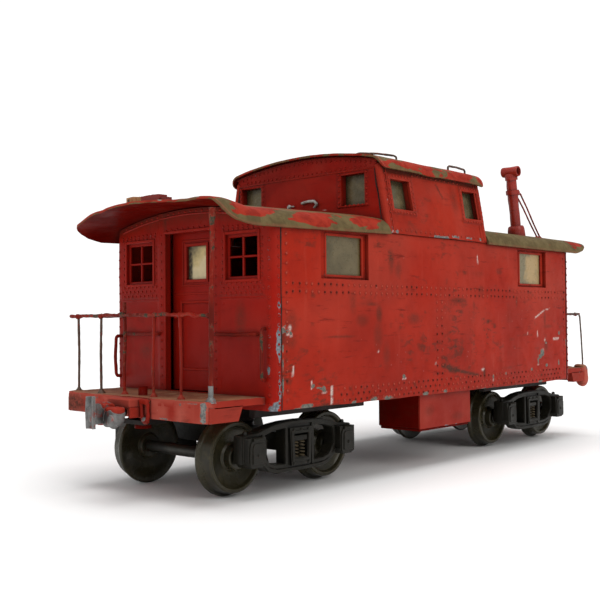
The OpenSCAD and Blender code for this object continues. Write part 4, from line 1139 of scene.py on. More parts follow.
def cup_side(sign, name, node):
    g = Geo()
    wins = [(-21.4 - 4.3, -21.4 + 4.3), (13.3 - 4.3, 13.3 + 4.3)]
    us = grid([-29.5, wins[0][0], wins[0][1], wins[1][0], wins[1][1], 18.8], 0.45)
    vs = grid([64.5, 71.2, 79.4, 82.35], 0.45)
    riv = []
    for c in (-21.4, 13.3):
        riv += [(c + s * 5.15, z) for s in (-1, 1) for z in np.arange(70.8, 80.2, 1.45)]
        riv += [(c + x, z) for z in (70.35, 80.3) for x in np.arange(-4.2, 4.3, 1.4)]
    riv += [(x, z) for x in (-27.6, 16.9 + 1.2) for z in np.arange(66.0, 82.0, 2.1)]
    riv += [(x, 65.5) for x in np.arange(-26, 17, 2.25)]
    riv += [(x, 81.3) for x in np.arange(-15.0, 8, 2.25)]
    riv = np.array(riv)

    def hole(U, V):
        h = np.zeros(U.shape, bool)
        for a, b in wins:
            h |= (U > a) & (U < b) & (V > 71.2) & (V < 79.4)
        return h

    def place(u, v, w):
        return np.stack([u, sign * (cup_y(v) - 1 + w), v + 0.12 * n2(u, v * 0, 6.0, 101) * np.clip((66 - v), 0, 1)], 1)

    def disp(U, V):
        d = 0.08 * n2(U, V, 9, 102) + 0.04 * n2(U, V, 3, 103) + 0.015 * n2(U, V, 1.2, 104)
        for c in (-21.4, 13.3):
            f = (np.abs(U - c) < 5.7) & (V > 69.8) & (V < 80.9)
            d = d + 0.2 * f
        return d

    def paint(U, V):
        # painted shade round each rivet
        dirt_shade = 0.6 * near(U, V, riv, 0.62)
        fr = np.zeros_like(U)
        for c in (-21.4, 13.3):
            dd = np.maximum(np.abs(U - c) - 4.3, np.maximum(71.2 - V, V - 79.4))
            fr = np.maximum(fr, np.clip(1 - np.abs(dd) / 0.7, 0, 1) * np.clip(0.3 + n2(U, V, 2.0, 105), 0, 1))
            # painted shade along the outer step of the raised frame
            dirt_shade = np.maximum(dirt_shade, 0.7 * np.clip(1 - np.abs(dd - 1.45) / 0.35, 0, 1))
        chip = 0.62 * np.clip(1 - (V - 64.5) / 0.5, 0, 1) * np.clip(n2(U, V * 0, 2.4, 106 + int(sign)) * 3.2 - 0.9, 0, 1.3)
        chip = np.maximum(chip, spots(U, V, [(-28.3, 64.2, 0.9, 0.35, 0.95), (-25.7, 65.0, 0.5, 0.4, 1), (-8.5, 64.7, -1.5, 64.7, 0.22, 1, "l"), (0.5, 65.2, 4.1, 65.2, 0.2, 1, "l"), (7.8, 65.2, 11, 65.2, 0.18, 1, "l"), (15.5, 65.3, 0.4, 0.5, 1), (-28.9, 70, 0.2, 1.2, 0.9), (-28.2, 73.4, 0.25, 0.25, 0.9)]))
        # painted shade under the eave: the top of the sheet darkens towards the roof; plus a dark streak and blotch
        dark = spots(U, V, [(-3.8, 79.9, -1.3, 76.3, 0.24, 0.9, "l"), (4.5, 76.0, 1.2, 2.4, 0.5)]) + np.clip((V - 80.75) * 2.2, 0, 1)
        dark = np.maximum(dark, 0.6 * np.clip(n2(U * 0.45, V, 1.6, 109) * 2 - 1.1, 0, 1))
        dark = np.maximum(dark, 0.7 * np.clip(1 - np.abs(U + 26.95) / 0.22, 0, 1))
        pale = spots(U, V, [(-27.6, 65.0, 0.3, 0.2, 0.8)])
        # painted highlight: a pale spot up and to one side of each rivet; paler round the window openings
        tint = np.clip(0.3 * n2(U, V, 6, 107), 0, 1) + 0.45 * fr + 0.35 * near(U, V, riv + np.array([0.15, 0.12]), 0.5)
        return {"grime": dirt_shade, "chip": chip, "dark": np.clip(dark, 0, 1.0), "pale": pale, "tint": np.clip(tint, 0, 0.8)}

    panel(g, us, vs, place, 0.0, 1.0, hole, disp, paint)
    P = np.stack([riv[:, 0], sign * (cup_y(riv[:, 1]) - 0.02 + disp(riv[:, 0], riv[:, 1])), riv[:, 1]], 1)
    nn = np.array([0, sign * 17.9, 3.1])
    rivets(g, P, nn, 0.3, 0.27, tint=0.3)
    # corner strips, lapped over both sheets
    for x in (-29.5, 18.8):
        s = -1 if x < 0 else 1
        z = np.linspace(64.7, 82.9, 32)
        tube(g, np.stack([np.full(32, x - s * 0.62), sign * (cup_y(np.minimum(z, 82.4)) - 0.62 - 0.3 * (z > 82.4)), z], 1), 0.95, 12, lump=0.07, cell=3, seed=9, tint=0.1)
        z = np.linspace(65.0, 82.0, 12)
        tube(g, np.stack([np.full(12, x - s * 2.5), sign * (cup_y(z) - 0.02), z], 1), 0.26, 6, tint=0.1)
    # black open joint at the corners
    for x in (-29.5, 18.8):
        s = -1 if x < 0 else 1
        z = np.arange(64.8, 82.6, 0.5)
        tube(g, np.stack([np.full(len(z), x + s * 0.03), sign * (cup_y(np.minimum(z, 82.4)) - 1.62 + 0.12 * n2(z, z * 0, 3, 47)), z], 1), 0.17 + 0.09 * n2(z, z * 0, 1.6, 48), 6, m=1)
    # deep window surrounds, darkened a little as painted shade in the reveals
    for c in (-21.4, 13.3):
        for (x0, x1, z0, z1) in ((c - 5.0, c - 4.3, 70.5, 80.1), (c + 4.3, min(c + 5.0, 17.7), 70.5, 80.1), (c - 4.4, c + 4.4, 70.5, 71.2), (c - 4.4, c + 4.4, 79.4, 80.1)):
            def wp(V, sign=sign):
                V = V.copy()
                V[:, 1] = sign * (cup_y(V[:, 2]) - V[:, 1])
                return V
            box(g, x0, x1, 0.6, 2.2, z0, z1, 0.1, warp=wp, dark=0.25)
    return make(name, g, [RED_CUP, BLACK], "car_body", [node])


cup_side(-1, "cupola_side_sheet_left", "cupola_side_left")
cup_side(1, "cupola_side_sheet_right", "cupola_side_right")


def cup_end(s, name, node):
    """s -1 is the end over the near canopy."""
    g = Geo()
    xo = -29.5 if s < 0 else 18.8
    k = 1.25 if s < 0 else 0.0  # the near window pair sits a little to one side
    us = grid([-1.0, -0.822, -0.526, 0.0, 0.526, 0.822, 1.0], 0.02)
    us = np.array(sorted(set(np.round(np.concatenate([np.linspace(-29.1, -23.8 + k, 13), np.linspace(-23.8 + k, -15.4 + k, 19), np.linspace(-15.4 + k, 15.4 + k, 61), np.linspace(15.4 + k, 23.8 + k, 19), np.linspace(23.8 + k, 29.1, 13)]), 5))))
    vs = grid([0.0, 72.8, 81.2, 90.0][1:3], 0.45)
    vs = np.concatenate([np.linspace(60, 72.8, 20)[:-1], vs, np.linspace(81.2, 92, 16)[1:]])

    def zz(u, v):
        a = np.abs(u)
        zb = MAIN.z(np.minimum(a, 31), 0) - 0.35
        yt = np.minimum(a, 29.0)
        zt = CUP.z(np.minimum(yt, 28.6), -0.6) - 0.12
        z = np.where(v < 72.8, zb + (72.8 - zb) * (v - 60) / 12.8, v)
        return np.where(v > 81.2, 81.2 + (zt - 81.2) * (v - 81.2) / 10.8, z)

    def place(u, v, w):
        z = zz(u, v)
        lim = np.minimum(cup_y(np.clip(z, 64.5, 82.4)) - 0.9, 30)
        lim = lim + np.clip((z - 81.4) / 1.2, 0, 1) * 0.9
        y = np.where(np.abs(u) < 25.2, u, np.sign(u) * (25.2 + (np.abs(u) - 25.2) * (lim - 25.2) / (29.1 - 25.2)))
        return np.stack([xo + s * (w - 1.0), y, z], 1)

    def hole(U, V):
        a = np.abs(U - k)
        return (a > 15.4) & (a < 23.8) & (V > 72.8) & (V < 81.2)

    riv = []
    for sy in (-1, 1):
        riv += [(k + sy * 19.6 + q * 4.85, z) for q in (-1, 1) for z in np.arange(72.2, 81.8, 1.55)]
        riv += [(k + sy * 19.6 + x, 72.15) for x in np.arange(-3.4, 3.5, 1.5)]
    riv = np.array(riv)

    def disp(U, V):
        d = 0.07 * n2(U, V, 7, 111) + 0.03 * n2(U, V, 2.5, 112)
        a = np.abs(np.abs(U - k) - 19.6)
        d = d + 0.2 * ((a < 5.6) & (V > 71.2) & (V < 81.9))
        return d

    def paint(U, V):
        z = zz(U, V)
        # painted shade round each rivet
        dirt_shade = 0.8 * near(U, V, riv, 0.9)
        dd = np.maximum(np.abs(np.abs(U - k) - 19.6) - 4.2, np.maximum(72.8 - V, V - 81.2))
        fr = np.clip(1 - np.abs(dd) / 0.7, 0, 1) * np.clip(0.4 + n2(U, V, 2.0, 115), 0, 1)
        # painted shade along the outer step of the raised frame
        dirt_shade = np.maximum(dirt_shade, 0.7 * np.clip(1 - np.abs(dd - 1.35) / 0.35, 0, 1))
        # painted shade: a dark band along the bead at eave height and along the foot where the end meets the roof
        dark = 0.75 * np.clip(1 - np.abs(z - 82.2) / 0.35, 0, 1) * (V > 81.2) + 0.5 * np.clip(1 - (V - 60) / 0.9, 0, 1)
        tint = np.clip(0.3 * n2(U, V, 6, 117), 0, 1) + 0.45 * fr
        pale = spots(U, V, [(-8, 70.5, 0.4, 0.3, 0.8), (2.0, 70.6, 0.4, 0.3, 0.7), (8.5, 71.0, 0.3, 0.3, 0.7)])
        return {"grime": dirt_shade, "dark": np.clip(dark, 0, 0.9), "tint": np.clip(tint, 0, 0.8), "pale": pale}

    panel(g, us, vs, place, 0.0, 1.0, hole, disp, paint)
    P = place(riv[:, 0], riv[:, 1], np.full(len(riv), 0.98) + disp(riv[:, 0], riv[:, 1]))
    rivets(g, P, np.array([s, 0, 0.0]), 0.42, 0.32, tint=0.12)
    y = np.arange(-26.2, 26.3, 1.75)
    P = np.stack([np.full(len(y), xo), y, CUP.z(y, -0.6) - 1.35], 1)
    rivets(g, P, np.array([s, 0, 0.0]), 0.36, 0.28, tint=0.08)
    y = np.arange(-24.5, 24.6, 1.75)
    keep = CUP.z(y, -0.6) - 83.1 > 2.2
    P = np.stack([np.full(len(y), xo), y, np.full(len(y), 83.0)], 1)[keep]
    rivets(g, P, np.array([s, 0, 0.0]), 0.36, 0.28, tint=0.08)
    yy = np.linspace(-26.8, 26.8, 40)
    tube(g, np.stack([np.full(40, xo), yy, np.full(40, 82.2) + 0.06 * n2(yy, yy * 0, 4, 3)], 1), 0.22, 6, tint=0.15)
    # a bead just under the roof edge, darkened as painted shade
    tube(g, np.stack([np.full(40, xo), yy, CUP.z(yy, -0.6) - 0.4], 1), 0.25, 6, dark=0.4)
    # window reveals, darkened a little as painted shade
    for sy in (-1, 1):
        c = k + sy * 19.6
        for (y0, y1, z0, z1) in ((c - 5.0, c - 4.2, 72.1, 81.8), (c + 4.2, c + 5.0, 72.1, 81.8), (c - 4.3, c + 4.3, 72.1, 72.8), (c - 4.3, c + 4.3, 81.2, 81.8)):
            box(g, xo - s * 0.6, xo - s * 2.2, y0, y1, z0, z1, 0.1, dark=0.25)
    return make(name, g, [RED_CUPE], "car_body", [node])


cup_end(-1, "cupola_end_sheet_a", "cupola_end_a")
cup_end(1, "cupola_end_sheet_b", "cupola_end_b")

# cupola roof
g = Geo()
us = np.linspace(0, 1, 100)
S = CUP.S
vs = np.concatenate([np.linspace(-S, -S + 6, 22)[:-1], np.linspace(-S + 6, S - 6, 80)[:-1], np.linspace(S - 6, S, 22)])


def _cr(u, v, w):
    a = S - np.abs(v)
    cut = np.interp(a, [0, 0.5, 1.2, 2.2, 3.5, 6], [2.4, 1.4, 0.8, 0.35, 0.1, 0])
    x0 = -30.95 + cut + 0.12 * n2(v, v * 0, 5, 121)
    x1 = 20.2 - 0.3 * cut - 0.2 * np.clip(n2(v, v * 0, 6, 122), 0, 1)
    X = x0 + (x1 - x0) * u
    y, z = CUP.at(v, w - 0.6)
    e = np.clip((np.abs(v) - 24) / 7, 0, 1)
    d = 0.06 * n2(X, v, 7, 123) + 0.03 * n2(X, v, 2.2, 124)
    d = d - 0.12 * np.clip(n2(X, v, 10, 125), 0, 1)
    z = z + np.minimum(d, 0.02) - 0.35 * e * np.clip(n2(X, v * 0, 7, 126) * 0.8 + np.clip((X - 16) / 4, 0, 1) * 1.4, 0, 1.4)
    return X, y, z


def _cplace(u, v, w):
    return np.stack(_cr(u, v, w), 1)


def _cpaint(U, V):
    X, y, z = _cr(U, V, np.full_like(U, 0.6))
    a = S - np.abs(V)
    fe = np.maximum(np.clip(1 - U / 0.03, 0, 1), np.clip(1 - (1 - U) / 0.03, 0, 1))
    ed = np.clip(1 - a / 0.9, 0, 1)
    tint = 0.16 * n2(X * 0.6, V, 7, 127) + 0.14 * np.clip(1 - a / 3.0, 0, 1) + 0.10 * (V < -20)
    # painted highlight: pink along the ends, the eaves and the shoulders
    pale = np.maximum(np.maximum(0.7 * fe, 0.4 * ed), 0.55 * np.exp(-((np.abs(V) - 26.5) / 1.2) ** 2)) * np.clip(0.5 + 0.9 * n2(X, V, 3.0, 128), 0, 1)
    chip = spots(X, y, [(0.5, -17.5, 1.4, 0.7, 0.9), (-19.5, -16.8, 0.7, 0.4, 0.9), (-9, -26.0, 0.6, 0.4, 0.8)])
    return {"tint": tint, "pale": pale, "chip": chip}


panel(g, us, vs, _cplace, 0.0, 0.6, None, None, _cpaint, m=0, mback=1)
make("cupola_roof_sheet", g, [ROOF_C, RED_DARK], "car_body", ["cupola_roof"])

# roof grab irons, bent a little
g = Geo()
zr = lambda y: float(CUP.z(y))
for pts in (
    [(-23.6, -15.4, 86.2), (-23.9, -15.1, 87.8), (-23.2, -15.6, 88.05), (-19.5, -19.2, 87.95), (-16.2, -22.3, 87.4), (-15.6, -22.7, 87.0), (-15.5, -22.6, 85.4)],
    [(7.7, -24.3, 85.0), (7.7, -24.3, 86.7), (8.4, -24.3, 87.1), (12.5, -24.0, 87.25), (16.8, -23.9, 87.05), (17.6, -23.8, 86.7), (17.6, -23.8, 85.0)],
    [(-21.0, 23.6, 85.2), (-21.0, 23.7, 86.8), (-20.3, 23.7, 87.15), (-16, 23.9, 87.2), (-12, 23.8, 87.1), (-11.2, 23.7, 86.7), (-11.2, 23.6, 85.2)],
    [(7.2, 23.6, 85.2), (7.2, 23.7, 86.8), (7.9, 23.7, 87.15), (12, 23.6, 87.25), (16.4, 23.8, 87.1), (17.1, 23.7, 86.7), (17.1, 23.6, 85.2)],
):
    tube(g, pts, 0.3, 10, lump=0.05, cell=1, step=0.35)
make("cupola_roof_grabs", g, [WIRE_OLD], "car_body", ["cupola_grab_irons"])
# broken hook on the near end wall of the cupola and its solder blobs
g = Geo()
tube(g, [(-29.3, -0.2, 74.8), (-30.2, -0.18, 74.8), (-30.3, -2.5, 75.1), (-30.3, -4.9, 75.0), (-30.3, -5.9, 74.1), (-30.2, -4.8, 73.2)], [0.36, 0.38, 0.4, 0.42, 0.42, 0.34], 9, lump=0.08, cell=1, step=0.3)
tube(g, [(-29.2, 5.6, 74.2), (-30.0, 5.4, 74.2), (-30.3, 4.4, 74.25), (-30.2, 2.9, 74.2)], [0.34, 0.32, 0.26, 0.16], 9, lump=0.05, cell=1, step=0.3)
lathe(g, (-29.45, 5.5, 74.2), (-1, 0, 0), [(0, 0), (0.8, 0), (0.55, 0.35), (0, 0.45)], 12, lump=0.12, cell=0.6)
make("cupola_broken_hook", g, [WIRE_GREY], "car_body", [])

# ------------------------------------------------------------------ stack
lean = math.radians(9.5)
ax = np.array([-math.sin(lean), 0, math.cos(lean)])
SB = np.array([57.1, -19.0, 69.0])
g = Geo()
pts = [SB + ax * h for h in (-2.0, 4, 8, 13, 18, 21.2)]
pts[2] = pts[2] + np.array([0.12, 0.1, 0])
tube(g, pts, 1.74, 22, lump=0.13, cell=2.2, seed=3, step=0.5)
make("stack_pipe", g, [RED_STACK], "car_body", ["stack_tube"])
g = Geo()
lathe(g, SB, ax, [(1.6, -2.2), (2.85, -2.2), (2.95, -0.5), (2.9, 2.6), (2.75, 3.5), (2.4, 4.0), (1.6, 4.15)], 28, lump=0.12, cell=2)
make("stack_roof_collar", g, [RED_STACK], "car_body", ["stack_collar"])
g = Geo()
c = SB + ax * 22.3
lathe(g, c, (0, 1, 0), [(1.32, -2.95), (1.66, -2.95), (1.74, -2.6), (1.7, 0), (1.72, 2.6), (1.62, 2.92), (1.0, 2.97), (0, 2.95), (0, 1.2), (1.28, 1.2), (1.3, -2.7)], 26, lump=0.07, cell=1.6)
lathe(g, SB, ax, [(0, 19.5), (2.05, 19.5), (2.08, 21.2), (1.9, 21.7), (0, 21.9)], 22, lump=0.08, cell=1.6)
make("stack_top", g, [RED_STACK], "car_body", ["stack_cap"])
g = Geo()
lathe(g, SB, ax, [(1.6, 14.65), (2.2, 14.65), (2.25, 15.4), (2.2, 16.15), (1.6, 16.15)], 22, lump=0.05, cell=1.5)
q = SB + ax * 15.4
box(g, q[0] + 1.9, q[0] + 3.35, q[1] - 1.05, q[1] + 1.05, q[2] - 0.7, q[2] + 0.7, 0.2)
make("stack_band", g, [RED_STACK], "car_body", ["stack_clamp"])
g = Geo()
for (p, e) in (((58.4, -19.7, 84.1), (70.4, -20.3, 70.1)), ((58.4, -18.3, 83.6), (72.8, -17.9, 70.5))):
    p, e = np.array(p), np.array(e)
    tube(g, [p, p + (e - p) * 0.33 + [0, 0, 0.22], p + (e - p) * 0.7 + [0, 0, -0.15], e], 0.28, 8, lump=0.04, cell=1, step=0.5)
    lathe(g, e - [0, 0, 0.45], (0.35, 0, 1), [(0, -0.9), (0.85, -0.9), (0.8, 0.1), (0.45, 0.55), (0, 0.7)], 12, lump=0.1, cell=0.7)
make("stack_stay_wires", g, [RED_WIRE], "car_body", ["stack_stays"])

# ------------------------------------------------------------------ roof walk stub
g = Geo()


def _wb(V):
    V = V.copy()
    V[:, 2] += 0.16 * n2(V[:, 1], V[:, 0], 4.0, 131) - 0.35 * np.clip((-V[:, 1] - 3.5) / 3.5, 0, 1)
    return V


def plank(y0, y1, m, seed, z0=70.45, x0=-86.0, x1=-83.45, up=1.2):
    us = grid([x0, x1], 0.3)
    vs = grid([y0, y1], 0.3)

    def place(u, v, w):
        return np.stack([u + 0.12 * n2(v, v * 0, 1.1, seed) * (u < x0 + 0.2), v, z0 + w * up + 0.12 * n2(v, v * 0, 2.6, seed + 5) + 0.25 * np.clip((v - 4.5) / 2.0, -1, 0)], 1)

    panel(g, us, vs, place, 0.0, 1.0, None, lambda U, V: 0.06 * n2(U * 0.2, V, 0.6, seed) + 0.05 * n2(U, V, 1.4, seed + 1), lambda U, V: {"dark": 0.5 * np.clip(n2(U, V, 2.0, seed + 2), 0, 1), "tint": 0.2 * np.clip(n2(U, V, 2.5, seed + 3), 0, 1)}, m=m)


plank(1.2, 7.2, 1, 141, up=1.5)
plank(-5.4, 1.3, 0, 145, up=1.6)
y = np.linspace(-7.9, 7.9, 17)
prof = [(float(a), float(MAIN.z(a)) - 0.2) for a in y] + [(float(a), 70.9) for a in y[::-1]]
prism(g, prof, lambda u, v, w: (-85.55 + w, u, v), 0.0, 1.5, 0, tint=0.05, dark=0.3)
lathe(g, (-85.7, 6.1, 71.0), (-1, 0, 0), [(0, -0.3), (0.8, -0.3), (0.8, 0.15), (0.55, 0.3), (0, 0.3)], 16, m=2, dark=0.6)
for (x, yy) in ((-84.8, 3.0), (-84.8, -3.2)):
    lathe(g, (x, yy, 71.55), (0, 0, 1), [(0, -0.2), (0.5, -0.2), (0.42, 0.15), (0, 0.2)], 12, m=2)
make("roof_walk_board", g, [RED_STACK, WOOD, SCREW], "car_body", ["roof_walk_stub"])


def blob(g, c, r, e=0.45, lump=0.1, cell=1.5, seed=1, nu=22, nv=40, m=0, **a):
    """A lumpy rounded block, closed at both poles."""
    c, r = np.asarray(c, float), np.asarray(r, float)
    la = np.linspace(-np.pi / 2, np.pi / 2, nu)[1:-1]
    lo = np.linspace(-np.pi, np.pi, nv, endpoint=False)
    pw = lambda x: np.sign(x) * np.abs(x) ** e
    A, B = np.meshgrid(la, lo, indexing="ij")
    Q = np.stack([pw(np.cos(A)) * pw(np.cos(B)), pw(np.cos(A)) * pw(np.sin(B)), pw(np.sin(A))], -1).reshape(-1, 3)
    Q = np.concatenate([Q, [[0, 0, -1], [0, 0, 1]]])
    P = c + Q * r
    P = P + Q / np.linalg.norm(Q, axis=1)[:, None] * (lump * vnoise(P / cell, seed))[:, None]
    n = len(la)
    F = []
    for i in range(n - 1):
        for j in range(nv):
            k = (j + 1) % nv
            F.append((i * nv + j, i * nv + k, (i + 1) * nv + k, (i + 1) * nv + j))
    for j in range(nv):
        k = (j + 1) % nv
        F.append((n * nv, k, j))
        F.append((n * nv + 1, (n - 1) * nv + j, (n - 1) * nv + k))
    g.add(P, F, m, **a)


# ------------------------------------------------------------------ toolbox
g = Geo()
for (x0, x1, y0, y1, z0, z1, ax3) in ((-12.7, 12.7, -27.8, -13.2, 11.2, 21.55, 0),):
    # painted shade: the top of the toolbox front darkens where it tucks under the body
    us, vs = grid([x0, x1], 0.6), grid([z0, z1], 0.5)
    panel(g, us, vs, lambda u, v, w: np.stack([u, -27.8 + 0.5 - w, v], 1), 0.0, 0.5, None,
          lambda U, V: 0.06 * n2(U, V, 6, 151) + 0.02 * n2(U, V, 1.8, 152),
          lambda U, V: {"dark": 0.75 * np.clip(1 - (21.5 - V) / 0.5, 0, 1) + spots(U, V, [(-8, 16, 1.5, 1, 0.4), (6, 13.5, 2, 0.8, 0.4)]), "chip": 0.7 * np.clip(1 - (V - z0) / 0.45, 0, 1) * np.clip(n2(U, V * 0, 2.6, 153) * 3 - 0.6, 0, 1), "tint": np.clip(0.3 * n2(U, V, 5, 154), 0, 1)})
box(g, -12.68, 12.68, -27.35, -13.2, 11.25, 21.5, 0.25, m=1)
box(g, -12.3, 12.3, -27.4, -13.6, 10.5, 11.3, 0.2, m=1)
make("toolbox_sheet", g, [RED_BOX, RED_DARK], "car_body", ["toolbox"])


# ------------------------------------------------------------------ platforms
def platform(turn, name, node):
    f = rot if turn else (lambda P: P)
    g = Geo()
    us, vs = grid([-90.5, -72.6], 0.55), grid([-27, 27], 0.6)

    def place(u, v, w):
        r = np.clip(np.abs(v) - 24.6, 0, 2.4)
        x0 = -90.5 + (2.4 - np.sqrt(np.maximum(2.4 ** 2 - r * r, 0)))
        X = np.maximum(u, x0)
        X = x0 + (u + 90.5) / 17.9 * (-72.6 - x0)
        return f(np.stack([X, v, 22.4 + w], 1))

    lumps = [(-85.5, 21.0, 2.6, 1.6, 0.5), (-82.0, 24.6, 2.0, 1.2, 0.45), (-87, 15.5, 1.6, 1.0, 0.3)] if turn else [(-88.6, 24.5, 1.6, 1.4, 0.35)]

    def disp(U, V):
        d = 0.07 * n2(U, V, 4, 161 + turn) + 0.06 * n2(U, V, 1.4, 162)
        d = d + spots(U, V, lumps)
        return np.where(d > 0, d, d)

    def paint(U, V):
        ed = np.clip(1 - (U + 90.5) / 1.0, 0, 1)
        # painted shade: the deck darkens towards the end wall under the canopy
        return {"dark": 0.8 * np.clip(1 - (-72.6 - U) / 1.2, 0, 1) + 0.35 * np.clip(n2(U, V, 3, 163), 0, 1), "tint": ed * 0.5}

    panel(g, us, vs, place, 0.0, 1.6, None, disp, paint, m=1, mback=0, mrim=0)

    def b(x0, x1, y0, y1, z0, z1, c=0.25, m=0, **k):
        P = f(np.array([[x0, y0, 0], [x1, y1, 0]], float))
        box(g, P[0][0], P[1][0], P[0][1], P[1][1], z0, z1, c, m, **k)

    # front sill as a dented strip
    us2, vs2 = grid([-26.6, 26.6], 0.5), grid([19.2, 23.9], 0.4)

    def sill(u, v, w):
        r = np.clip(np.abs(u) - 24.4, 0, 2.4)
        bx = 2.4 - np.sqrt(np.maximum(2.4 ** 2 - r * r, 0))
        return f(np.stack([-90.55 + bx + 2.0 - w, u * 1.012, v], 1))

    def sd(U, V):
        d = 0.09 * n2(U, V, 4, 171 + turn) + 0.08 * n2(U, V, 1.5, 172)
        d = d - 0.25 * np.clip(1 - (V - 19.2) / 0.6, 0, 1) - 0.2 * np.clip(1 - (23.9 - V) / 0.4, 0, 1)
        return np.minimum(d, 0.03)

    def sp(U, V):
        chip = spots(U, V, [(-25.2, 19.9, -25.3, 23.6, 0.5, 1, "l"), (-23.6, 23.7, -18.0, 23.8, 0.22, 0.8, "l"), (8.6, 19.5, 0.9, 0.3, 0.9), (-12, 19.5, 1.2, 0.25, 0.8)])
        return {"chip": chip, "tint": np.clip(0.35 + n2(U, V, 3, 174) * 0.5, 0, 1), "dark": spots(U, V, [(22.6, 21.4, 3.0, 1.9, 0.85), (2, 21, 3, 1.2, 0.35)])}

    panel(g, us2, vs2, sill, 0.0, 2.0, None, sd, sp, m=0)
    for s in (-1, 1):
        y0, y1 = sorted((s * 24.8, s * 27.0))
        poly = [(-89.6, 19.2), (-81.0, 19.2), (-79.6, 22.6), (-89.6, 22.6)]
        prism(g, poly, lambda u, v, w, y0=y0: tuple(f(np.array([[u, y0 + w, v]]))[0]), 0.0, 2.2, 0, tint=0.1, dark=0.15)
    # coupler mouth cheeks and striker block
    b(-94, -89.6, -4.4, 4.4, 21.75, 23.8, 0.3, 0, tint=0.3)
    b(-93.9, -89.8, -4.5, -3.6, 19.4, 21.9, 0.25, 0)
    b(-93.9, -89.8, 3.6, 4.5, 19.4, 21.9, 0.25, 0)
    b(-90.2, -72.6, -3.6, 3.6, 21.4, 22.5, 0.1, 0, dark=0.7)
    if turn:
        # a rounded lump of filler on the corner
        P = f(np.array([[-91.0, 25.2, 20.9]]))[0]
        blob(g, P, (2.3, 2.0, 3.9), 0.7, 0.35, 2.2, 7, tint=0.75)
        P = f(np.array([[-90.4, 24.9, 24.2]]))[0]
        blob(g, P, (2.1, 1.8, 0.9), 0.8, 0.3, 1.6, 9, m=1)
    # threaded stud end
    P = f(np.array([[-86.7, 0.0, 23.6]]))[0]
    lathe(g, P, (0, 0, 1), [(0, 0), (1.1, 0)] + [(1.12 - 0.14 * (k % 2), 0.2 + 0.22 * k) for k in range(10)] + [(0.95, 2.5), (0, 2.6)], 18, m=2)
    make(name, g, [RED_PLAT, DECK, RED_STACK], "car_body", [node])


platform(0, "platform_deck_a", "platform_a")
platform(1, "platform_deck_b", "platform_b")


# ------------------------------------------------------------------ railings, staffs, grab irons
def wires(turn, name, node):
    f = rot if turn else (lambda P: np.asarray(P, float))
    g = Geo()

    def w(pts, r=0.42, lump=0.06, **k):
        tube(g, f(np.array(pts, float)), r, 9, lump=lump, cell=0.9, seed=5 + turn, step=0.35, **k)

    m = 0
    w([(-88.3, -15.9, 23.6), (-88.2, -16.0, 33), (-88.3, -15.6, 42.9)], 0.34, m=m)
    w([(-88.3, -6.2, 23.6), (-88.45, -6.1, 31), (-88.3, -6.5, 42.9)], 0.36, m=m)
    w([(-88.3, 14.5, 23.6), (-88.3, 14.7, 34), (-88.25, 14.5, 42.9)], 0.34, m=1)
    w([(-87.4, 6.2, 23.6), (-87.5, 6.3, 30), (-87.3, 6.1, 38), (-87.4, 6.2, 46.3)], 0.42, m=m)
    if not turn:
        w([(-88.3, 24.2, 23.6), (-88.25, 24.1, 34), (-88.3, 24.3, 42.9)], 0.34, m=1)
        top = [(-88.3, 27.6, 43.15), (-88.3, 24.5, 43.0), (-88.3, 22, 43.15), (-88.35, 17, 43.05), (-88.3, 12, 43.3), (-88.2, 8.0, 43.15), (-88.1, 6.8, 43.5), (-88.2, 5.2, 43.15), (-88.35, 0, 43.2), (-88.4, -6, 43.0), (-88.3, -10, 43.3), (-88.3, -15.5, 42.95), (-88.2, -19, 43.25), (-88.35, -21.5, 42.6), (-88.3, -23.4, 42.95), (-88.2, -25.6, 42.7)]
        w(top, 0.44, 0.16, chip=0.3)
        w([(-88.2, 24.4, 43.1), (-84, 25.3, 43.3), (-78, 26.4, 43.0), (-72.3, 27.6, 43.15)], 0.38)
    else:
        top = [(-88.3, 26.0, 43.1), (-88.3, 17, 43.05), (-88.3, 8.0, 43.15), (-88.35, 0, 43.2), (-88.3, -10, 43.2), (-88.2, -19, 43.15), (-88.3, -25.6, 42.9)]
        w(top, 0.4, 0.1)
        w([(-72.2, 26.8, 43.1), (-79.5, 26.1, 43.15), (-86.6, 26.0, 43.2), (-87.9, 26.0, 42.9), (-88.5, 26.0, 42.0), (-89.3, 26.0, 36), (-90.2, 26.0, 26.5), (-90.3, 25.9, 23.4)], 0.28, 0.03, m=1)
    for (x, y, m) in ((-88.3, -15.9, 0), (-88.3, -6.2, 0), (-88.3, 14.5, 1), (-88.3, 24.2, 1), (-87.4, 6.2, 0)):
        if turn and y > 20:
            continue
        P = f(np.array([[x, y, 23.95]]))[0]
        lathe(g, P, (0, 0, 1), [(0, -0.3), (1.0, -0.3), (0.9, 0.25), (0.5, 0.75), (0.3, 1.1), (0, 1.2)], 12, lump=0.14, cell=0.7, m=m, tint=0.3)
    for (x, y, z) in ((-88.3, -15.6, 43.0), (-88.3, -6.4, 43.0), (-88.3, 14.6, 43.0), (-87.9, 6.3, 43.2), (-88.25, -25.5, 42.8), (-88.3, 24.4, 43.0)):
        P = f(np.array([[x, y, z]]))[0]
        lathe(g, P - np.array([0, 0.9, 0]), (0, 1, 0), [(0, 0), (0.4, 0.1), (0.7, 0.7), (0.66, 1.1), (0.4, 1.7), (0, 1.8)], 12, lump=0.16, cell=0.6)
    make(name, g, [RED_WIRE, WIRE_OLD], "car_body", [node])


wires(0, "railing_wires_a", "end_railing_a")
wires(1, "railing_wires_b", "end_railing_b")


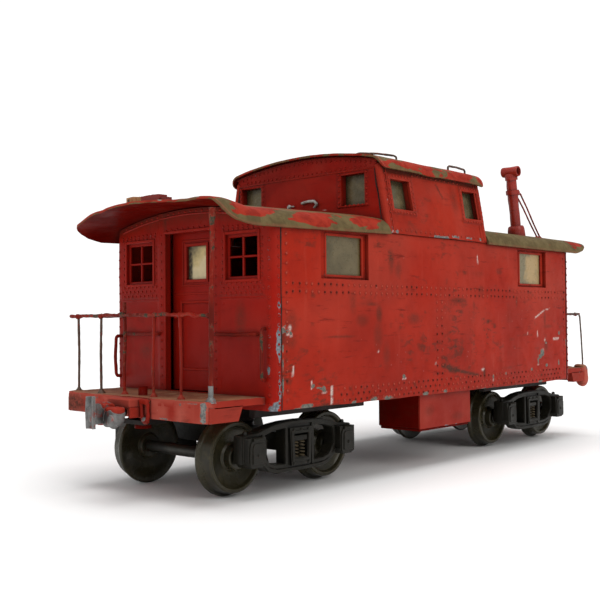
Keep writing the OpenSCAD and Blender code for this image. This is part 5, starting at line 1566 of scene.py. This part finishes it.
def staff(turn, name, node):
    f = rot if turn else (lambda P: np.asarray(P, float))
    g = Geo()
    tube(g, f(np.array([(-88.3, -25.9, 23.5), (-88.25, -25.9, 27.4)])), 0.6, 10, m=1, lump=0.05, cell=1, step=0.5)
    tube(g, f(np.array([(-88.25, -25.9, 27.2), (-88.15, -26.0, 35), (-88.2, -26.15, 43), (-88.05, -26.3, 55), (-88.0, -26.5, 66.2)])), [0.55, 0.52, 0.6, 0.52, 0.56], 10, lump=0.06, cell=1.2, step=0.5)
    tube(g, f(np.array([(-88.02, -26.42, 62.6), (-88.0, -26.45, 65.0), (-87.95, -26.5, 66.5)])), [0.55, 0.75, 0.95], 10, lump=0.12, cell=1.2, step=0.4, dark=0.5, chip=0.4)
    P = f(np.array([[-88.3, -25.9, 23.95]]))[0]
    lathe(g, P, (0, 0, 1), [(0, -0.3), (1.3, -0.3), (1.15, 0.3), (0.7, 0.9), (0, 1.2)], 12, m=1, lump=0.14, cell=0.7)
    make(name, g, [RED_WIRE, ZINC], "car_body", [node])


staff(0, "brake_staff_wire_a", "brake_staff_a")
staff(1, "brake_staff_wire_b", "brake_staff_b")


def grabs(turn, name, node):
    f = rot if turn else (lambda P: np.asarray(P, float))
    g = Geo()
    for s in (-1, 1):
        tube(g, f(np.array([(-72.2, s * 11, 38.4), (-73.5, s * 11, 38.4), (-73.8, s * 11.6, 38.4), (-73.95, s * 18, 38.3), (-73.8, s * 24.3, 38.45), (-73.5, s * 24.8, 38.4), (-72.2, s * 24.8, 38.4)])), 0.4, 9, lump=0.05, cell=1, step=0.4)
        far = s > 0 and not turn
        z0, z1, d = (27.2, 37.8, 0.75) if far else (28, 39.8, 0)
        tube(g, f(np.array([(-72.1, s * 27, z0), (-73.5 - d, s * 27.1, z0), (-73.8 - d, s * 27.2, z0 + 0.6), (-74.1 - d * 0.8, s * 27.4, 0.5 * (z0 + z1)), (-73.8 - d, s * 27.2, z1 - 0.6), (-73.5 - d, s * 27.1, z1), (-72.1, s * 27, z1)])), 0.45 if far else 0.4, 9, lump=0.05, cell=1, step=0.4)
    make(name, g, [RED_WIRE], "car_body", [node])


grabs(0, "grab_wires_a", "grab_irons_a")
grabs(1, "grab_wires_b", "grab_irons_b")

# ------------------------------------------------------------------ trucks: raised rims, springs, journal lids on the cast frames
HF = [[0, 17.4], [5, 17.3], [9, 16.9], [12.4, 16.1], [14.4, 15.5], [19.2, 15], [19.3, 8.6], [13.6, 8.2], [12.9, 7.6], [10.8, 5.9], [8, 5.2], [0, 5.1]]
HW = [[5.2, 15.7], [9, 15.4], [12, 14.6], [12.6, 13], [12.6, 10.4], [10.6, 8], [8.6, 7.4], [5.2, 7.2]]


def inset(P, d):
    P = np.asarray(P, float)
    n = len(P)
    area = 0.5 * sum(P[i][0] * P[(i + 1) % n][1] - P[(i + 1) % n][0] * P[i][1] for i in range(n))
    s = 1 if area > 0 else -1
    out = []
    for i in range(n):
        a, b, c = P[i - 1], P[i], P[(i + 1) % n]
        e0 = (b - a) / np.linalg.norm(b - a)
        e1 = (c - b) / np.linalg.norm(c - b)
        n0, n1 = s * np.array([-e0[1], e0[0]]), s * np.array([-e1[1], e1[0]])
        m = n0 + n1
        m = m / max(0.4, float(np.dot(m, n0)))
        out.append(b + m * d)
    return np.array(out)


def ring(g, outer, inner, place, w0, w1, m=0, **a):
    n = len(outer)
    V = [place(u, v, w) for w in (w0, w1) for P in (outer, inner) for u, v in P]
    F = []
    for j in range(n):
        k = (j + 1) % n
        F += [(j, k, n + k, n + j), (2 * n + j, 3 * n + j, 3 * n + k, 2 * n + k), (j, 2 * n + j, 2 * n + k, k), (n + j, n + k, 3 * n + k, 3 * n + j)]
    g.add(V, F, m, **a)


def side_detail(cx, sy, body, name):
    g = Geo()
    pl = lambda u, v, w: (cx + u, sy * (23.4 + w), v)
    full = [(-x, z) for x, z in HF[1:][::-1]][:-0 or None]
    full = [(x, z) for x, z in HF] + [(-x, z) for x, z in HF[1:-1][::-1]]
    ring(g, inset(full, 0.12), inset(full, 0.95), pl, -0.2, 0.42)
    for s in (-1, 1):
        W = [(s * x, z) for x, z in HW]
        ring(g, inset(W, -0.95), inset(W, -0.1), pl, -0.2, 0.4)
    # spring nest: two coils between seat and cap
    q = Geo()
    for dx in (-1.15, 1.15):
        t = np.linspace(0, 2 * np.pi * 4.5, 90)
        pts = np.stack([cx + dx + 0.78 * np.cos(t), sy * (22.95 + 0.78 * np.sin(t)), 8.5 + (t / t[-1]) * 3.7], 1)
        tube(q, pts, 0.27, 6)
    box(g, cx - 2.3, cx + 2.3, sy * 22.2, sy * 24.05, 7.9, 8.5, 0.15)
    box(g, cx - 2.4, cx + 2.4, sy * 22.2, sy * 24.1, 12.3, 13.7, 0.2)
    for z in (15.1, 7.0):
        rivets(g, [(cx - 2.6, sy * 24.2, z), (cx + 2.6, sy * 24.2, z)], np.array([0, sy, 0.0]), 0.42, 0.3)
    rivets(g, [(cx, sy * 24.2, 15.0)], np.array([0, sy, 0.0]), 0.5, 0.3)
    ring(g, [(-3.1, 7.4), (3.1, 7.4), (3.5, 14.9), (-3.5, 14.9)], [(-2.5, 8.1), (2.5, 8.1), (2.7, 14.2), (-2.7, 14.2)], pl, 0.5, 1.0)
    # journal box lids
    for s in (-1, 1):
        x = cx + s * 16.15
        lid = [(-2.35, 8.2), (-1.7, 7.9), (1.7, 7.9), (2.35, 8.2), (2.5, 9.0), (2.45, 12.6), (2.0, 13.6), (1.2, 14.1), (-1.2, 14.1), (-2.0, 13.6), (-2.45, 12.6), (-2.5, 9.0)]
        prism(g, lid, lambda u, v, w, x=x: (x + u, sy * (25.2 + w), v), 0.0, 0.42)
        prism(g, inset(lid, 0.75), lambda u, v, w, x=x: (x + u, sy * (25.2 + w), v), 0.3, 0.66)
        lathe(g, (x - 1.5, sy * 25.45, 14.2), (1, 0, 0), [(0, 0), (0.45, 0), (0.45, 3.0), (0, 3.0)], 10)
        rivets(g, [(x, sy * 25.82, 10.6)], np.array([0, sy, 0.0]), 0.5, 0.35)
        for zz in (15.35,):
            lathe(g, (x + s * 1.2, sy * 22.4, zz - 0.6), (0, 0, 1), [(0, 0), (0.62, 0), (0.62, 0.9), (0.4, 1.2), (0, 1.2)], 6)
    # brake hanger stubs inside the windows
    for s in (-1, 1):
        tube(g, [(cx + s * 8.2, sy * 20.9, 6.4), (cx + s * 8.6, sy * 20.2, 9.5), (cx + s * 8.0, sy * 19.8, 13.0)], 0.5, 7)
    make(name, g, [CAST], body, [], bevel=0.08, seg=1)
    make(name.replace("side_frame_detail", "spring_nest"), q, [BRASS], body, [])


for e, cx in (("a", -57.35), ("b", 57.35)):
    for side_name, sy in (("left", -1), ("right", 1)):
        cad(f"side_frame_{e}_{side_name}", CAST, 0.22, 2)
        side_detail(cx, sy, f"truck_{e}", f"side_frame_detail_{e}_{side_name}")
    cad(f"truck_bolster_{e}", CAST, 0.3, 2)
    for k, dx in ((1, -16.15), (2, 16.15)):
        # wheels: lathed treads with dished faces, spun rings and a hub
        g = Geo()
        for s in (-1, 1):
            prof = [(1.45, 14.0), (2.7, 13.95), (3.0, 14.1), (3.35, 14.85), (5.0, 14.62), (7.1, 14.38), (7.5, 14.15), (9.1, 14.05), (9.38, 14.2), (9.48, 14.5), (9.46, 14.8), (9.2, 15.25), (8.84, 15.45), (8.66, 15.7), (8.6, 15.9), (8.46, 17.7), (8.36, 18.1), (8.1, 18.36), (7.5, 18.4), (7.25, 18.15), (7.0, 17.5), (6.2, 17.0), (3.6, 16.7), (3.1, 17.1), (2.85, 18.7), (2.6, 18.95), (1.45, 19.0)]
            lathe(g, (cx + dx, 0, 9.5), (0, s, 0), prof, 72, lump=0.0)
        make(f"wheel_pair_{e}{k}", g, [WHEEL], f"wheelset_{e}{k}", [f"wheels_{e}{k}"], angle=28)
        cad(f"axle_{e}{k}", AXLE, 0.12, 1)

# black rails under the floor, over the trucks
g = Geo()
for sx in (-1, 1):
    for sy in (-1, 1):
        box(g, sx * 30, sx * 71, sy * 20, sy * 22, 18.7, 20.9, 0.15)
make("underframe_rails", g, [BLACK], "car_body", [], bevel=0.1, seg=1)


# near coupler: a tall dished face plate on a rough cast block
g = Geo()


us, vs = grid([-1.5, 1.4], 0.3), grid([17.4, 24.7], 0.4)
panel(g, us, vs, lambda u, v, w: np.stack([-101.15 - w + 0.012 * (v - 21) ** 2 - 0.1, u * (1 - 0.012 * np.abs(v - 21) ** 1.5), v], 1), 0.0, 0.8, None,
      lambda U, V: -0.4 * np.clip(1 - (U / 1.2) ** 2, 0, 1) + 0.06 * n2(U, V, 1.2, 201), lambda U, V: {"dark": 0.7 * np.clip(1 - (U / 1.0) ** 2, 0, 1)}, m=0)
blob(g, (-99.4, 0.2, 20.6), (2.3, 1.3, 2.2), 0.5, 0.3, 1.4, 4)
blob(g, (-97.1, 1.6, 20.3), (1.8, 2.9, 2.4), 0.45, 0.4, 1.6, 5, m=1)
blob(g, (-97.0, -2.5, 19.6), (1.7, 2.6, 2.0), 0.5, 0.4, 1.5, 6)
blob(g, (-95.0, 0.0, 20.5), (2.6, 2.0, 1.05), 0.4, 0.12, 1.6, 8, m=2)
blob(g, (-96.2, -1.6, 18.9), (1.0, 1.5, 0.9), 0.6, 0.3, 1.0, 18, m=2)
blob(g, (-98.2, -3.9, 18.9), (1.1, 0.9, 1.5), 0.6, 0.3, 1.1, 9)
blob(g, (-97.4, 1.6, 22.3), (2.1, 3.0, 0.8), 0.6, 0.3, 1.2, 10, m=1)
blob(g, (-97.1, -3.1, 21.5), (1.5, 2.5, 0.7), 0.6, 0.3, 1.1, 14, m=1)
blob(g, (-97.6, -1.0, 19.0), (0.9, 1.9, 0.7), 0.6, 0.4, 0.9, 15, m=1)
make("coupler_cast_a", g, [ZINC, ZINC_RED, BLACK], "coupler_a_head", ["coupler_a"])

# lifting loops beside the couplers
g = Geo()
for f in (lambda P: np.asarray(P, float), rot):
    tube(g, f(np.array([(-91.0, -5.0, 23.6), (-91.2, -5.1, 22.6), (-91.1, -5.3, 20.2), (-91.0, -5.6, 18.9), (-91.0, -6.4, 18.45), (-91.1, -7.3, 18.7), (-91.1, -7.6, 20.5), (-91.0, -7.4, 22.9), (-91.0, -7.1, 23.5)], float)), [0.5, 0.45, 0.42, 0.5, 0.6, 0.55, 0.4, 0.45, 0.55], 10, lump=0.14, cell=1.0, step=0.4)
    P = f(np.array([[-91.0, -6.2, 23.2]]))[0]
    blob(g, P, (0.7, 1.8, 0.7), 0.6, 0.2, 1.0, 12)
    P = f(np.array([[-91.0, -6.4, 18.9]]))[0]
    blob(g, P, (0.55, 0.9, 0.55), 0.8, 0.25, 0.8, 13, m=1)
make("lift_loops", g, [RED_WIRE, ZINC], "car_body", ["lift_brackets"])

# ------------------------------------------------------------------ CAD nodes shown as they are
cad("floor_plate", FLOORW, 0.15, 1)
cad("center_sill", BLACK, 0.2, 1)
cad("body_bolsters", BLACK, 0.25, 1)
cad("kingpin_screws", SCREW, 0.15, 1)
cad("coupler_screws", RED_DARK, 0.15, 1)
cad("coupler_pocket_a", BLACK, 0.2, 1)
cad("coupler_pocket_b", RED_DARK, 0.2, 1)
cad("coupler_b", ZINC_RED, 0.28, 2)
cad("door_a", RED_END, 0.2, 2)
cad("door_b", RED_END, 0.2, 2)
cad("side_glazing_left", PANE)
cad("side_glazing_right", PANE)
cad("cupola_glazing", PANE_C)

# ------------------------------------------------------------------ camera
yaw, pitch, roll = (math.radians(a) for a in (42.676, 1.261, -0.461))
d = Vector((math.cos(yaw) * math.cos(pitch), math.sin(yaw) * math.cos(pitch), math.sin(pitch)))
rt = d.cross(Vector((0, 0, 1))).normalized()
up = rt.cross(d)
c, s = math.cos(roll), math.sin(roll)
X, Y, Z = c * rt + s * up, -s * rt + c * up, -d
cam_data = bpy.data.cameras.new("camera")
cam = bpy.data.objects.new("camera", cam_data)
scene.collection.objects.link(cam)
cam.matrix_world = Matrix.Translation((-0.224511, -0.178254, 0.041575)) @ Matrix((X, Y, Z)).transposed().to_4x4()
cam_data.sensor_fit = "HORIZONTAL"
cam_data.sensor_width = 36.0
cam_data.lens = 55.7745
cam_data.clip_start = 0.01
cam_data.clip_end = 20.0
scene.camera = cam

# ------------------------------------------------------------------ floor and light
me = bpy.data.meshes.new("floor")
R = 6.0
me.from_pydata([(-R, -R, 0), (R, -R, 0), (R, R, 0), (-R, R, 0)], [], [(0, 1, 2, 3)])
floor = bpy.data.objects.new("floor", me)
scene.collection.objects.link(floor)
t = T("floor_paper")
t.set(Base_Color=t.mix(t.noise(9, 2), (0.86, 0.86, 0.86), (0.9, 0.9, 0.895)))
t.b.inputs["Roughness"].default_value = 0.85
t.b.inputs["Specular IOR Level"].default_value = 0.15
me.materials.append(t.mat)

world = bpy.data.worlds.new("studio")
scene.world = world
world.use_nodes = True
wn = world.node_tree
wn.nodes.clear()
wo = wn.nodes.new("ShaderNodeOutputWorld")
b1 = wn.nodes.new("ShaderNodeBackground")
b1.inputs["Color"].default_value = (1, 1, 1, 1)
b1.inputs["Strength"].default_value = 0.5
b2 = wn.nodes.new("ShaderNodeBackground")
b2.inputs["Color"].default_value = (1, 1, 1, 1)
b2.inputs["Strength"].default_value = 1.1
lp = wn.nodes.new("ShaderNodeLightPath")
ms = wn.nodes.new("ShaderNodeMixShader")
wn.links.new(lp.outputs["Is Camera Ray"], ms.inputs[0])
wn.links.new(b1.outputs[0], ms.inputs[1])
wn.links.new(b2.outputs[0], ms.inputs[2])
wn.links.new(ms.outputs[0], wo.inputs[0])


def sun(name, loc, strength, spread, col=(1, 1, 1)):
    l = bpy.data.lights.new(name, "SUN")
    l.energy = strength
    l.angle = math.radians(spread)
    l.color = col
    o = bpy.data.objects.new(name, l)
    scene.collection.objects.link(o)
    o.location = loc
    o.rotation_mode = "QUATERNION"
    o.rotation_quaternion = (-Vector(loc)).to_track_quat("-Z", "Y")
    return o


sun("top", (0.02, -0.05, 1.0), 2.1, 46)
sun("key", (-0.10, -0.85, 0.55), 0.85, 40, (1.0, 0.985, 0.96))
sun("left", (-0.9, 0.15, 0.45), 0.3, 50, (0.97, 0.985, 1.0))

scene.view_settings.view_transform = "Standard"
scene.view_settings.look = "None"
scene.view_settings.exposure = 0.0
scene.view_settings.gamma = 1.0
